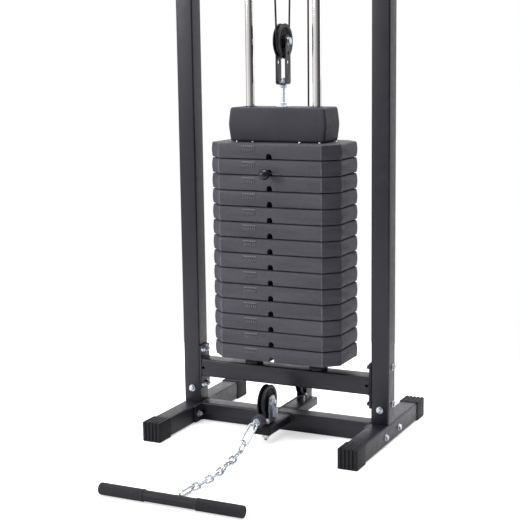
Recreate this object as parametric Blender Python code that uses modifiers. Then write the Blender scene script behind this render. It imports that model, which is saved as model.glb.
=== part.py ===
"""Lat pulldown machine: a tube frame, a guided weight stack, a lat bar above and a low row handle.

Metres, +Z up, the user sits on the -Y side. Every piece is placed about the plane of the uprights
and guide rods (y = 0), and center_footprint() moves the finished machine so that the middle of its
footprint is the origin.
"""
import math

import bmesh
import bpy
from mathutils import Matrix, Vector

NAME = "lat_pulldown_machine"
GAP = 0.0003                    # clearance between pieces that touch

# Frame
TUBE = 0.050                    # outside of the square tube
WALL = 0.002
COLUMN_X = 0.2805               # half the spacing of the uprights
FOOT_FRONT, FOOT_REAR = -0.255, 0.265
FOOT_LOW = 0.002                # underside of the foot tubes
CAP_WALL, CAP_LENGTH, CAP_END = 0.0017, 0.060, 0.003
UPRIGHT_TOP = 2.040
FLANGE = 0.005                  # end plates of the cross tubes
CROSSBAR_LOW = 0.128            # underside of the crossbar below the stack
CROSSBAR_PLATE_HEIGHT = 0.124
TOP_PLATE_HEIGHT = 0.085
DRAIN_RADIUS = 0.004
BEAM_HEIGHT = 0.025             # flat tube that carries the low pulleys
BEAM_FRONT, BEAM_REAR = -0.155, 0.155
TOP_BEAM_FRONT, TOP_BEAM_REAR = -0.440, 0.190

# Weight stack
PLATE_COUNT = 14
PLATE_PITCH = 0.0416
STACK_LOW = 0.2075              # underside of the lowest plate
PLATE_X, PLATE_Y, PLATE_CORNER = 0.188, 0.096, 0.041
PLATE_ROUND = 0.008
SLOT_WIDTH, SLOT_HEIGHT = 0.016, 0.015
ROD_X, ROD_RADIUS = 0.0964, 0.0125
ROD_HOLE = 0.0145
STEM_RADIUS, STEM_HOLE = 0.010, 0.012
STEM_LOW = 0.197
PIN_RADIUS, PIN_HOLE = 0.00475, 0.0054
PIN_RISE = 0.0055               # pin's axis above a plate's underside
PIN_PLATE = 2                   # plate that the pin is in, counted from the top
BLOCK_X, BLOCK_FRONT, BLOCK_REAR, BLOCK_HEIGHT = 0.136, -0.043, 0.045, 0.090
BLOCK_BULGE = 0.005
BUMPER_RADIUS = 0.025

# Pulleys and cable
PULLEY_RADIUS, CABLE_TURN, CABLE_RADIUS = 0.046, 0.039, 0.0025
GROOVE_RADIUS, BORE_RADIUS, AXLE_RADIUS = 0.0358, 0.0056, 0.005
HUB_HALF, RIM_HALF, WEB_HALF = 0.0095, 0.0085, 0.004
LEG_THICK, LEG_INSIDE, LEG_WIDTH = 0.004, 0.011, 0.040
LEG_PAST_AXLE = 0.019
AXLE_HALF = 0.0195
FLOATING = Vector((0, 0, 1.050))
FLOATING_LEG_WIDTH, FLOATING_LEG_PAST_AXLE = 0.031, 0.016
FLOATING_BASE_LOW = 0.938
TOP_FRONT = Vector((0, -0.390, 1.980))
TOP_MIDDLE = Vector((0, -0.132, 1.980))
TOP_REAR = Vector((0, 0.132, 1.980))
LOW_REAR = Vector((0, 0.122, 0.109))
LOW_FRONT = Vector((0, -0.122, 0.109))

# Handles
STOP_RADIUS, STOP_LENGTH = 0.016, 0.025
RING_RADIUS, RING_WIRE = 0.0075, 0.002
LOW_STOP_REAR = -0.163          # back face of the low stop
LAT_STOP_TOP = 1.921
HOOK_RADIUS, HOOK_STRAIGHT, HOOK_WIRE = 0.010, 0.027, 0.003
GATE_WIRE, GATE_LOW, GATE_HIGH, GATE_MOUTH = 0.0025, -0.0168, 0.0176, 0.0190
LINK_WIRE, LINK_RADIUS, LINK_BITE = 0.0025, 0.0075, 0.0010
LINK_TURNS = (-75, 30, 135, 195, 255, 315, 405, 495, 585, 675)   # degrees about the chain
CHAIN_ROUTE = [
    (-0.0020, -0.2575, 0.0368), (-0.0020, -0.2830, 0.0180), (-0.0035, -0.3130, 0.0104),
    (-0.0005, -0.3450, 0.0098), (0.0045, -0.3780, 0.0098), (0.0090, -0.4150, 0.0098),
    (0.0110, -0.4480, 0.0098), (0.0095, -0.4800, 0.0098), (0.0075, -0.5120, 0.0102),
    (0.0060, -0.5480, 0.0122),
]
BAR_Y, BAR_Z, BAR_HALF = -0.6420, 0.0150, 0.1890
BAR_TUBE_RADIUS, BAR_GRIP_RADIUS, BAR_GRIP_LENGTH = 0.0125, 0.0150, 0.120
TAB_X, TAB_HALF, TAB_THICK, TAB_HOLE = 0.0060, 0.0170, 0.004, 0.0070
TAB_HOLE_REACH, TAB_ROUND = 0.0230, 0.0110
HOOK_SLACK = 0.0020             # hook's wire past the middle of a tab's hole
LAT_BAR_RADIUS, LAT_GRIP_RADIUS = 0.0140, 0.0170
LAT_BAR_FLAT, LAT_BAR_TIP_X, LAT_BAR_DROP, LAT_GRIP_LENGTH = 0.380, 0.580, 0.110, 0.160

FOOTPRINT_SHIFT = (BAR_GRIP_RADIUS - BAR_Y - FOOT_REAR) / 2

MATERIALS = {
    "frame_paint": ((0.045, 0.043, 0.050), 0.55, 0.0),
    "cap_plastic": ((0.020, 0.020, 0.022), 0.60, 0.0),
    "plate_shell": ((0.085, 0.085, 0.095), 0.70, 0.0),
    "chrome": ((0.800, 0.800, 0.800), 0.10, 1.0),
    "zinc": ((0.650, 0.680, 0.720), 0.30, 1.0),
    "pulley_nylon": ((0.012, 0.012, 0.012), 0.45, 0.0),
    "cable_coat": ((0.010, 0.010, 0.010), 0.35, 0.0),
    "rubber": ((0.020, 0.020, 0.020), 0.85, 0.0),
}


# ---------------------------------------------------------------- modelling helpers

def clear_scene():
    for ob in list(bpy.data.objects):
        bpy.data.objects.remove(ob, do_unlink=True)


def collection(name):
    found = bpy.data.collections.get(name)
    if found is None:
        found = bpy.data.collections.new(name)
        bpy.context.scene.collection.children.link(found)
    return found


def material(slot):
    found = bpy.data.materials.get(slot)
    if found is None:
        colour, roughness, metallic = MATERIALS[slot]
        found = bpy.data.materials.new(slot)
        found.use_nodes = True
        shader = found.node_tree.nodes["Principled BSDF"]
        shader.inputs["Base Color"].default_value = (*colour, 1)
        shader.inputs["Roughness"].default_value = roughness
        shader.inputs["Metallic"].default_value = metallic
    return found


def place(name, data, matrix=None):
    """A new object in the scene's working collection."""
    ob = bpy.data.objects.new(name, data)
    collection("cutters").objects.link(ob)
    if matrix is not None:
        ob.matrix_world = matrix
    return ob


def part(ob, slot, smooth_angle=35):
    """Keep ob as a named part of the machine, with its material and smooth round faces."""
    collection("cutters").objects.unlink(ob)
    collection(NAME).objects.link(ob)
    ob.data.materials.clear()
    ob.data.materials.append(material(slot))
    ob.data.shade_smooth()
    ob.data.set_sharp_from_angle(angle=math.radians(smooth_angle))
    return ob


def from_bmesh(name, bm, matrix=None):
    mesh = bpy.data.meshes.new(name)
    bm.to_mesh(mesh)
    bm.free()
    return place(name, mesh, matrix)


def from_curve(curve_ob, name):
    """The curve's solid as a mesh object with its caps welded."""
    bpy.context.view_layer.update()
    graph = bpy.context.evaluated_depsgraph_get()
    mesh = bpy.data.meshes.new_from_object(curve_ob.evaluated_get(graph))
    mesh.name = name
    bm = bmesh.new()
    bm.from_mesh(mesh)
    bmesh.ops.remove_doubles(bm, verts=bm.verts, dist=0.00001)
    bmesh.ops.recalc_face_normals(bm, faces=bm.faces)
    bm.to_mesh(mesh)
    bm.free()
    matrix = curve_ob.matrix_world.copy()
    bpy.data.objects.remove(curve_ob, do_unlink=True)
    return place(name, mesh, matrix)


def baked(ob, name):
    """A plain mesh of ob with its modifiers applied."""
    bpy.context.view_layer.update()
    graph = bpy.context.evaluated_depsgraph_get()
    mesh = bpy.data.meshes.new_from_object(ob.evaluated_get(graph))
    mesh.name = name
    return mesh


def box(name, low, high):
    low, high = Vector(low), Vector(high)
    bm = bmesh.new()
    bmesh.ops.create_cube(bm, size=1)
    bmesh.ops.scale(bm, verts=bm.verts, vec=high - low)
    return from_bmesh(name, bm, Matrix.Translation((low + high) / 2))


AXIS_TURN = {
    "X": Matrix(((0, 0, 1), (1, 0, 0), (0, 1, 0))).to_4x4(),     # outline in y, z
    "Y": Matrix(((1, 0, 0), (0, 0, -1), (0, 1, 0))).to_4x4(),    # outline in x, z
    "Z": Matrix.Identity(4),                                      # outline in x, y
}


def extruded(name, outlines, thickness, axis, centre=(0, 0, 0)):
    """A flat outline, with any holes, made thickness thick along axis about centre."""
    data = bpy.data.curves.new(name, "CURVE")
    data.dimensions = "2D"
    data.fill_mode = "BOTH"
    data.extrude = thickness / 2
    for outline in outlines:
        spline = data.splines.new("POLY")
        spline.points.add(len(outline) - 1)
        for point, (u, v) in zip(spline.points, outline):
            point.co = (u, v, 0, 1)
        spline.use_cyclic_u = True
    curve_ob = place(name, data, Matrix.Translation(centre) @ AXIS_TURN[axis])
    return from_curve(curve_ob, name)


def rectangle(width, height):
    u, v = width / 2, height / 2
    return [(-u, -v), (u, -v), (u, v), (-u, v)]


def arc(centre, radius, start, end, steps):
    """Points on a circle, from start to end degrees."""
    points = []
    for i in range(steps + 1):
        angle = math.radians(start + (end - start) * i / steps)
        points.append((centre[0] + radius * math.cos(angle), centre[1] + radius * math.sin(angle)))
    return points


def hollow_tube(name, size, axis, start, end, centre):
    """A rectangular tube along axis from start to end; centre's value on that axis is ignored."""
    width, height = size
    outlines = [rectangle(width, height), rectangle(width - 2 * WALL, height - 2 * WALL)]
    centre = Vector(centre)
    centre["XYZ".index(axis)] = (start + end) / 2
    return extruded(name, outlines, end - start, axis, centre)


def rod(name, radius, axis, start, end, centre, sides=20):
    bm = bmesh.new()
    bmesh.ops.create_cone(
        bm, cap_ends=True, segments=sides, radius1=radius, radius2=radius, depth=end - start)
    centre = Vector(centre)
    centre["XYZ".index(axis)] = (start + end) / 2
    return from_bmesh(name, bm, Matrix.Translation(centre) @ AXIS_TURN[axis])


def turned(name, profile, steps, matrix, closed=False):
    """A profile of (radius, height) points, top to bottom, turned about local Z."""
    mesh = bpy.data.meshes.new(name)
    edges = [(i, i + 1) for i in range(len(profile) - 1)]
    if closed:
        edges.append((len(profile) - 1, 0))
    mesh.from_pydata([(r, 0, z) for r, z in profile], edges, [])
    ob = place(name, mesh, matrix)
    screw = ob.modifiers.new("turn", "SCREW")
    screw.axis = "Z"
    screw.steps = steps
    screw.render_steps = steps
    screw.use_merge_vertices = True
    screw.merge_threshold = 0.00001
    mesh = baked(ob, name)
    bm = bmesh.new()
    bm.from_mesh(mesh)
    bmesh.ops.remove_doubles(bm, verts=bm.verts, dist=0.00001)
    bmesh.ops.recalc_face_normals(bm, faces=bm.faces)
    bm.to_mesh(mesh)
    bm.free()
    bpy.data.objects.remove(ob, do_unlink=True)
    return place(name, mesh, matrix)


def wire(name, points, radius, cyclic=False, resolution=2, matrix=None):
    """A round wire or cable along points."""
    data = bpy.data.curves.new(name, "CURVE")
    data.dimensions = "3D"
    data.bevel_depth = radius
    data.bevel_resolution = resolution
    data.use_fill_caps = True
    spline = data.splines.new("POLY")
    spline.points.add(len(points) - 1)
    for point, position in zip(spline.points, points):
        point.co = (*position, 1)
    spline.use_cyclic_u = cyclic
    return from_curve(place(name, data, matrix), name)


def combine(ob, tool, operation):
    """Join tool to ob, or cut it from ob; the tool stays in the cutters' collection."""
    modifier = ob.modifiers.new(operation.lower(), "BOOLEAN")
    modifier.operation = operation
    modifier.solver = "EXACT"
    modifier.object = tool
    tool.hide_render = True
    tool.display_type = "WIRE"
    return ob


def join(ob, *tools):
    for tool in tools:
        combine(ob, tool, "UNION")
    return ob


def cut(ob, *tools):
    for tool in tools:
        combine(ob, tool, "DIFFERENCE")
    return ob


def round_edges(ob, width, segments, angle):
    bevel = ob.modifiers.new("round", "BEVEL")
    bevel.width = width
    bevel.segments = segments
    bevel.limit_method = "ANGLE"
    bevel.angle_limit = math.radians(angle)
    return ob


def set_origin(ob, point):
    """Move an object's origin to a point in the scene and leave its shape where it is."""
    local = ob.matrix_world.inverted() @ Vector(point)
    ob.data.transform(Matrix.Translation(-local))
    ob.matrix_world = ob.matrix_world @ Matrix.Translation(local)


# ---------------------------------------------------------------- frame

def build_feet():
    for side, sign in (("left", -1), ("right", 1)):
        x = sign * COLUMN_X
        low, high = FOOT_LOW, FOOT_LOW + TUBE
        inset = CAP_END + GAP
        foot = hollow_tube(f"foot_{side}", (TUBE, TUBE), "Y", FOOT_FRONT + inset, FOOT_REAR - inset,
                           (x, 0, (low + high) / 2))
        part(foot, "frame_paint")
        half = TUBE / 2 + GAP
        for end, outer, inner in (("front", FOOT_FRONT, FOOT_FRONT + CAP_LENGTH),
                                  ("rear", FOOT_REAR, FOOT_REAR - CAP_LENGTH)):
            name = f"foot_cap_{side}_{end}"
            toward = 1 if inner > outer else -1
            spans = sorted((outer, inner))
            cap = box(name, (x - half - CAP_WALL, spans[0], 0),
                      (x + half + CAP_WALL, spans[1], high + GAP + CAP_WALL))
            pocket = sorted((outer + toward * CAP_END, inner + toward * CAP_LENGTH))
            cut(cap, box(name + "_pocket", (x - half, pocket[0], low - GAP),
                         (x + half, pocket[1], high + GAP)))
            part(cap, "cap_plastic")


def build_uprights():
    low = FOOT_LOW + TUBE + GAP
    for side, sign in (("left", -1), ("right", 1)):
        upright = hollow_tube(f"upright_{side}", (TUBE, TUBE), "Z", low, UPRIGHT_TOP,
                              (sign * COLUMN_X, 0, 0))
        part(upright, "frame_paint")


def crossbar(name, low, plate_low, plate_high, plate_depth, drain_axis):
    """A cross tube between the uprights with a bolting plate welded on each end."""
    end = COLUMN_X - TUBE / 2 - GAP
    middle = low + TUBE / 2
    bar = hollow_tube(name, (TUBE, TUBE), "X", -end + FLANGE / 2, end - FLANGE / 2, (0, 0, middle))
    for sign in (-1, 1):
        spans = sorted((sign * end, sign * (end - FLANGE)))
        join(bar, box(name + "_plate", (spans[0], -plate_depth / 2, plate_low),
                      (spans[1], plate_depth / 2, plate_high)))
    for sign in (-1, 1):
        x = sign * (end - FLANGE - 0.0065)
        if drain_axis == "Y":
            drain = rod(name + "_drain", DRAIN_RADIUS, "Y", -TUBE, -TUBE / 4, (x, 0, middle), 12)
        else:
            drain = rod(name + "_drain", DRAIN_RADIUS, "Z", low - TUBE, middle - TUBE / 4,
                        (x, 0, 0), 12)
        cut(bar, drain)
    return bar


def pulley_leg(name, x, axle, base_z, width, past_axle):
    """One side plate of a pulley bracket, from base_z to a rounded end past the axle."""
    toward = 1 if axle.z > base_z else -1
    shoulder = axle.z + toward * (past_axle - width / 2)
    outline = [(-width / 2, base_z), (width / 2, base_z)]
    outline += [(u, shoulder + toward * v) for u, v in arc((0, 0), width / 2, 0, 180, 8)]
    return extruded(name, [[(axle.y + u, v) for u, v in outline]], LEG_THICK, "X", (x, 0, 0))


def bracket_pieces(name, axle, base_z, width=LEG_WIDTH, past_axle=LEG_PAST_AXLE):
    """Two side plates and the axle between them."""
    x = LEG_INSIDE + LEG_THICK / 2
    return [
        pulley_leg(name + "_leg_left", -x, axle, base_z, width, past_axle),
        pulley_leg(name + "_leg_right", x, axle, base_z, width, past_axle),
        rod(name + "_axle", AXLE_RADIUS, "X", -AXLE_HALF, AXLE_HALF, axle, 16),
    ]


def build_cross_tubes():
    weld = 0.0012                                    # how far a welded piece enters a tube's wall
    low = FOOT_LOW
    lower = crossbar("lower_cross_tube", low, low + 0.001, low + TUBE - 0.001, 0.130, "Z")
    top = low + TUBE - 0.0002
    for name, start, end in (("front_beam", BEAM_FRONT, weld - TUBE / 2),
                             ("rear_beam", TUBE / 2 - weld, BEAM_REAR)):
        join(lower, hollow_tube(name, (TUBE, BEAM_HEIGHT), "Y", start, end,
                                (0, 0, top - BEAM_HEIGHT / 2)))
    join(lower, *bracket_pieces("low_rear_bracket", LOW_REAR, top - weld))
    part(lower, "frame_paint")

    middle = CROSSBAR_LOW + TUBE / 2
    upper = crossbar("upper_crossbar", CROSSBAR_LOW, middle - CROSSBAR_PLATE_HEIGHT / 2,
                     middle + CROSSBAR_PLATE_HEIGHT / 2, TUBE - 0.001, "Y")
    part(upper, "frame_paint")

    top_low = UPRIGHT_TOP - TUBE
    top_bar = crossbar("top_crossbar", top_low, UPRIGHT_TOP - TOP_PLATE_HEIGHT,
                       UPRIGHT_TOP - 0.001, TUBE - 0.001, "Y")
    part(top_bar, "frame_paint")

    beam_low = UPRIGHT_TOP + GAP
    beam = hollow_tube("top_beam", (TUBE, TUBE), "Y", TOP_BEAM_FRONT, TOP_BEAM_REAR,
                       (0, 0, beam_low + TUBE / 2))
    for name, axle in (("top_front", TOP_FRONT), ("top_middle", TOP_MIDDLE),
                       ("top_rear", TOP_REAR)):
        join(beam, *bracket_pieces(name + "_bracket", axle, beam_low + weld))
    part(beam, "frame_paint")


def build_guides():
    low = CROSSBAR_LOW + TUBE + GAP
    high = UPRIGHT_TOP - TUBE - GAP
    for side, sign in (("left", -1), ("right", 1)):
        x = sign * ROD_X
        part(rod(f"guide_rod_{side}", ROD_RADIUS, "Z", low, high, (x, 0, 0)), "chrome")
        inner, height = ROD_RADIUS + 2 * GAP, STACK_LOW - GAP - low
        profile = [(inner, height), (BUMPER_RADIUS - 0.003, height),
                   (BUMPER_RADIUS, height - 0.003), (BUMPER_RADIUS, 0), (inner, 0)]
        bumper = turned(f"bumper_{side}", profile, 20, Matrix.Translation((x, 0, low)), closed=True)
        part(bumper, "rubber")


# ---------------------------------------------------------------- weight stack

def plate_low(number):
    """Underside of a plate, counted from the top."""
    return STACK_LOW + (PLATE_COUNT - number) * PLATE_PITCH


def stack_top():
    return plate_low(1) + PLATE_PITCH - GAP


def octagon(x, y, corner):
    right = [(x, corner - y), (x, y - corner), (x - corner, y), (corner - x, y)]
    return right + [(-u, -v) for u, v in right]


def build_plates():
    """Fourteen equal plates with a slot for the pin along the bottom of each."""
    height = PLATE_PITCH - GAP
    base = extruded("plate_base", [octagon(PLATE_X, PLATE_Y, PLATE_CORNER)], height, "Z",
                    (0, 0, height / 2))
    round_edges(base, PLATE_ROUND, 2, 60)
    for sign in (-1, 1):
        cut(base, rod("rod_hole", ROD_HOLE, "Z", -height, 2 * height, (sign * ROD_X, 0, 0), 16))
    cut(base, rod("stem_hole", STEM_HOLE, "Z", -height, 2 * height, (0, 0, 0), 16))
    radius = SLOT_WIDTH / 2
    slot = [(radius, -radius), (radius, SLOT_HEIGHT - radius)]
    slot += arc((0, SLOT_HEIGHT - radius), radius, 0, 180, 8)[1:-1]
    slot += [(-radius, SLOT_HEIGHT - radius), (-radius, -radius)]
    cut(base, extruded("pin_slot", [slot], PLATE_Y + 0.02, "Y", (0, -(PLATE_Y + 0.02) / 2, 0)))
    mesh = baked(base, "weight_plate")
    centre_turn = base.matrix_world.copy()
    bpy.data.objects.remove(base, do_unlink=True)
    for number in range(1, PLATE_COUNT + 1):
        matrix = Matrix.Translation((0, 0, plate_low(number))) @ centre_turn
        part(place(f"weight_plate_{number:02d}", mesh, matrix), "plate_shell")


def build_top_block():
    """The cover over the top of the stack, its walls swelling a little at half height."""
    low = stack_top() + GAP
    centre = Vector((0, (BLOCK_FRONT + BLOCK_REAR) / 2, low + BLOCK_HEIGHT / 2))
    size = Vector((2 * BLOCK_X, BLOCK_REAR - BLOCK_FRONT, BLOCK_HEIGHT))
    bm = bmesh.new()
    bmesh.ops.create_cube(bm, size=1)
    bmesh.ops.scale(bm, verts=bm.verts, vec=size)
    bmesh.ops.bisect_plane(bm, geom=bm.verts[:] + bm.edges[:] + bm.faces[:],
                           plane_co=(0, 0, 0), plane_no=(0, 0, 1))
    for vert in bm.verts:
        if abs(vert.co.z) < BLOCK_HEIGHT / 4:
            vert.co.x += math.copysign(BLOCK_BULGE, vert.co.x)
            vert.co.y += math.copysign(BLOCK_BULGE, vert.co.y)
    block = from_bmesh("top_block", bm, Matrix.Translation(centre))
    round_edges(block, 0.010, 2, 40)
    below, above = low - 0.02, low + BLOCK_HEIGHT + 0.02
    for sign in (-1, 1):
        cut(block, rod("block_rod_hole", ROD_HOLE, "Z", below, above, (sign * ROD_X, 0, 0), 16))
    cut(block, rod("block_stem_hole", STEM_RADIUS + 2 * GAP, "Z", below, above, (0, 0, 0), 16))
    part(block, "plate_shell")


def build_stem():
    """Selector stem with a pin hole at every plate, and the threaded rod that hangs it."""
    top = stack_top() + GAP + BLOCK_HEIGHT
    washer, nut, thread = 0.019, 0.0085, 0.005
    bracket_nut_top = FLOATING_BASE_LOW - GAP
    profile = [
        (0, bracket_nut_top + 0.018), (thread, bracket_nut_top + 0.018), (thread, bracket_nut_top),
        (nut, bracket_nut_top), (nut, bracket_nut_top - 0.008), (thread, bracket_nut_top - 0.008),
        (thread, top + 0.0105), (nut, top + 0.0105), (nut, top + 0.0025), (washer, top + 0.0025),
        (washer, top + GAP), (STEM_RADIUS, top + GAP), (STEM_RADIUS, STEM_LOW + 0.002),
        (STEM_RADIUS - 0.002, STEM_LOW), (0, STEM_LOW),
    ]
    stem = turned("selector_stem", profile, 16, Matrix.Identity(4))
    for number in range(1, PLATE_COUNT + 1):
        height = plate_low(number) + PIN_RISE
        cut(stem, rod("pin_hole", PIN_HOLE, "Y", -0.02, 0.02, (0, 0, height), 8))
    part(stem, "chrome")


def build_pin():
    """Selector pin: a ball knob, a collar and the rod that goes through the stem."""
    ball, collar = 0.0135, 0.0065
    neck = 15                                         # degrees from the ball's pole to the collar
    front = 0.030                                     # ball's centre in front of the plates
    profile = [(ball * math.sin(math.radians(a)), ball * math.cos(math.radians(a)))
               for a in range(0, 180 - 2 * neck + 1, 30)]
    profile[0] = (0, ball)
    profile += [(collar, -ball * math.cos(math.radians(2 * neck))), (collar, 0.0015 - front),
                (PIN_RADIUS, 0.0015 - front), (PIN_RADIUS, -PLATE_Y - front - 0.0095),
                (PIN_RADIUS - 0.0015, -PLATE_Y - front - 0.0112), (0, -PLATE_Y - front - 0.0112)]
    height = plate_low(PIN_PLATE) + PIN_RISE
    matrix = Matrix.Translation((0, -PLATE_Y - front, height)) @ Matrix.Rotation(math.pi / 2, 4, "X")
    part(turned("selector_pin", profile, 12, matrix), "cap_plastic")


# ---------------------------------------------------------------- pulleys and cable

def build_pulley(name, centre):
    half = [(BORE_RADIUS, HUB_HALF), (0.014, HUB_HALF), (0.0145, WEB_HALF), (0.034, WEB_HALF),
            (0.0355, RIM_HALF), (PULLEY_RADIUS - 0.001, RIM_HALF), (PULLEY_RADIUS, 0.0055),
            (GROOVE_RADIUS, 0.0028)]
    profile = half + [(r, -z) for r, z in reversed(half)]
    matrix = Matrix.Translation(centre) @ AXIS_TURN["X"]
    part(turned(name, profile, 16, matrix, closed=True), "pulley_nylon")


def build_pulleys():
    for name, centre in (("top_front_pulley", TOP_FRONT), ("top_middle_pulley", TOP_MIDDLE),
                         ("top_rear_pulley", TOP_REAR), ("floating_pulley", FLOATING),
                         ("low_rear_pulley", LOW_REAR), ("low_front_pulley", LOW_FRONT)):
        build_pulley(name, centre)


def build_floating_bracket():
    """U strap that hangs the stem from the floating pulley."""
    base = FLOATING_BASE_LOW
    outside = LEG_INSIDE + LEG_THICK
    strap = box("floating_bracket", (-outside, -FLOATING_LEG_WIDTH / 2, base),
                (outside, FLOATING_LEG_WIDTH / 2, base + LEG_THICK))
    join(strap, *bracket_pieces("floating_bracket", FLOATING, base + LEG_THICK / 2,
                                FLOATING_LEG_WIDTH, FLOATING_LEG_PAST_AXLE))
    cut(strap, rod("strap_hole", 0.0056, "Z", base - 0.01, base + 0.01, (0, 0, 0), 16))
    part(strap, "frame_paint")


def build_low_front_bracket():
    """Zinc U bracket bolted on the front of the low beam."""
    base = FOOT_LOW + TUBE + GAP
    outside = LEG_INSIDE + LEG_THICK
    half = LEG_WIDTH / 2
    strap = box("low_front_bracket", (-outside, LOW_FRONT.y - half, base),
                (outside, LOW_FRONT.y + half, base + LEG_THICK))
    join(strap, *bracket_pieces("low_front_bracket", LOW_FRONT, base + LEG_THICK / 2))
    part(strap, "zinc")


def rim_point(centre, degrees):
    """A point of the cable's path on a pulley; 0 degrees is +Y, 90 is +Z."""
    angle = math.radians(degrees)
    return Vector((0, centre.y + CABLE_TURN * math.cos(angle), centre.z + CABLE_TURN * math.sin(angle)))


def around(centre, start, end):
    """Points around a pulley at about every 12 degrees."""
    steps = max(1, round(abs(end - start) / 12))
    return [rim_point(centre, start + (end - start) * i / steps) for i in range(steps + 1)]


def crossing_angle(upper, lower):
    """Degrees that a cable leans between pulleys when it changes from one side to the other."""
    offset = abs(upper.y - lower.y)
    drop = upper.z - lower.z
    return math.degrees(math.asin(2 * CABLE_TURN / math.hypot(offset, drop))
                        - math.atan2(offset, drop))


def same_side_angle(upper, lower):
    return math.degrees(math.atan2(upper.y - lower.y, upper.z - lower.z))


def between(start, end):
    """The straight run between two tangent points, short of both by the gap."""
    along = (end - start).normalized() * GAP
    return [start + along, end - along]


def build_cable():
    lean = crossing_angle(TOP_MIDDLE, FLOATING)
    back = same_side_angle(TOP_REAR, LOW_REAR)
    runs = {
        "cable_over_top": around(TOP_FRONT, 180, 90) + around(TOP_MIDDLE, 90, lean),
        "cable_behind_stack": around(TOP_REAR, 180 - lean, -back) + around(LOW_REAR, -back, -90),
        "cable_under_floating_pulley": around(FLOATING, 180 + lean, 360 - lean),
        "cable_run_front": between(rim_point(TOP_MIDDLE, lean), rim_point(FLOATING, 180 + lean)),
        "cable_run_rear": between(rim_point(FLOATING, -lean), rim_point(TOP_REAR, 180 - lean)),
        "cable_run_lat": between(rim_point(TOP_FRONT, 180),
                                 Vector((0, TOP_FRONT.y - CABLE_TURN, LAT_STOP_TOP))),
        "cable_run_low": between(rim_point(LOW_REAR, -90),
                                 Vector((0, LOW_STOP_REAR, LOW_FRONT.z - CABLE_TURN))),
    }
    for name, points in runs.items():
        part(wire(name, points, CABLE_RADIUS), "cable_coat")


# ---------------------------------------------------------------- handles

def ring(name, centre, normal):
    """A round wire eye about centre."""
    turn = Vector((0, 0, 1)).rotation_difference(Vector(normal)).to_matrix().to_4x4()
    points = [(u, v, 0) for u, v in arc((0, 0), RING_RADIUS, 0, 360, 12)[:-1]]
    return wire(name, points, RING_WIRE, cyclic=True, resolution=1,
                matrix=Matrix.Translation(centre) @ turn)


def cable_stop(name, face, direction, ring_centre, ring_normal):
    """Rubber stop on the cable's end, with the zinc eye that a carabiner clips into."""
    matrix = Matrix.Translation(face) @ Vector((0, 0, -1)).rotation_difference(
        Vector(direction)).to_matrix().to_4x4()
    round_off = 0.003
    shank, shank_end = 0.0035, STOP_LENGTH + 0.0015
    profile = [(0, 0), (STOP_RADIUS - round_off, 0), (STOP_RADIUS, -round_off),
               (STOP_RADIUS, round_off - STOP_LENGTH), (STOP_RADIUS - round_off, -STOP_LENGTH),
               (shank, -STOP_LENGTH), (shank, -shank_end), (0, -shank_end)]
    stop = turned(name, profile, 16, matrix)
    join(stop, ring(name + "_eye", ring_centre, ring_normal))
    return part(stop, "rubber")


def hook_frame(top, along, across):
    """Matrix of a carabiner: local +Y runs from its lower to its upper end, local +X to its gate."""
    along, across = Vector(along).normalized(), Vector(across).normalized()
    centre = Vector(top) + along * (HOOK_STRAIGHT + HOOK_RADIUS)
    matrix = Matrix((across, -along, across.cross(-along))).transposed().to_4x4()
    matrix.translation = centre
    return matrix


def build_carabiner(name, matrix):
    """A wire carabiner, open along one side where its gate closes it."""
    lower = arc((0, -HOOK_STRAIGHT), HOOK_RADIUS, 0, -180, 8)
    upper = arc((0, HOOK_STRAIGHT), HOOK_RADIUS, 180, 0, 8)
    outline = [(HOOK_RADIUS, -GATE_MOUTH)] + lower + upper + [(HOOK_RADIUS, GATE_MOUTH)]
    points = [(u, v, 0) for u, v in outline]
    part(wire(name, points, HOOK_WIRE, resolution=1, matrix=matrix), "zinc")
    pivot = matrix @ Matrix.Translation((HOOK_RADIUS, GATE_LOW, 0))
    gate = wire(name + "_gate", [(0, 0, 0), (0, GATE_HIGH - GATE_LOW, 0)], GATE_WIRE, matrix=pivot)
    part(gate, "zinc")


def smooth_route(points, samples=12):
    """A Catmull-Rom curve through points."""
    points = [Vector(p) for p in points]
    ends = [2 * points[0] - points[1]] + points + [2 * points[-1] - points[-2]]
    route = []
    for a, b, c, d in zip(ends, ends[1:], ends[2:], ends[3:]):
        for i in range(samples):
            t = i / samples
            route.append(0.5 * (2 * b + (c - a) * t + (2 * a - 5 * b + 4 * c - d) * t * t
                                + (3 * b - a - 3 * c + d) * t ** 3))
    return route + [points[-1]]


def spaced(route, count):
    """count + 1 points at equal distances along a route, and that distance."""
    lengths = [0.0]
    for a, b in zip(route, route[1:]):
        lengths.append(lengths[-1] + (b - a).length)
    pitch = lengths[-1] / count
    points, i = [], 0
    for k in range(count + 1):
        while i < len(route) - 2 and lengths[i + 1] < k * pitch:
            i += 1
        share = (k * pitch - lengths[i]) / (lengths[i + 1] - lengths[i])
        points.append(route[i].lerp(route[i + 1], share))
    return points, pitch


def build_chain():
    """Steel links lying on the floor, each about a quarter turn from the last and joined to it."""
    joints, pitch = spaced(smooth_route(CHAIN_ROUTE), len(LINK_TURNS))
    straight = (pitch - LINK_BITE) / 2 - (LINK_RADIUS - LINK_WIRE)
    outline = arc((straight, 0), LINK_RADIUS, -90, 90, 5) + arc((-straight, 0), LINK_RADIUS, 90, 270, 5)
    points = [(u, v, 0) for u, v in outline]
    chain = None
    for turn, a, b in zip(LINK_TURNS, joints, joints[1:]):
        along = (b - a).normalized()
        side = along.cross(Vector((0, 0, 1))).normalized()
        across = Matrix.Rotation(math.radians(turn), 3, along) @ side
        matrix = Matrix((along, across, along.cross(across))).transposed().to_4x4()
        matrix.translation = (a + b) / 2
        link = wire("chain", points, LINK_WIRE, cyclic=True, resolution=1, matrix=matrix)
        chain = link if chain is None else join(chain, link)
    part(chain, "zinc")


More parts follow.
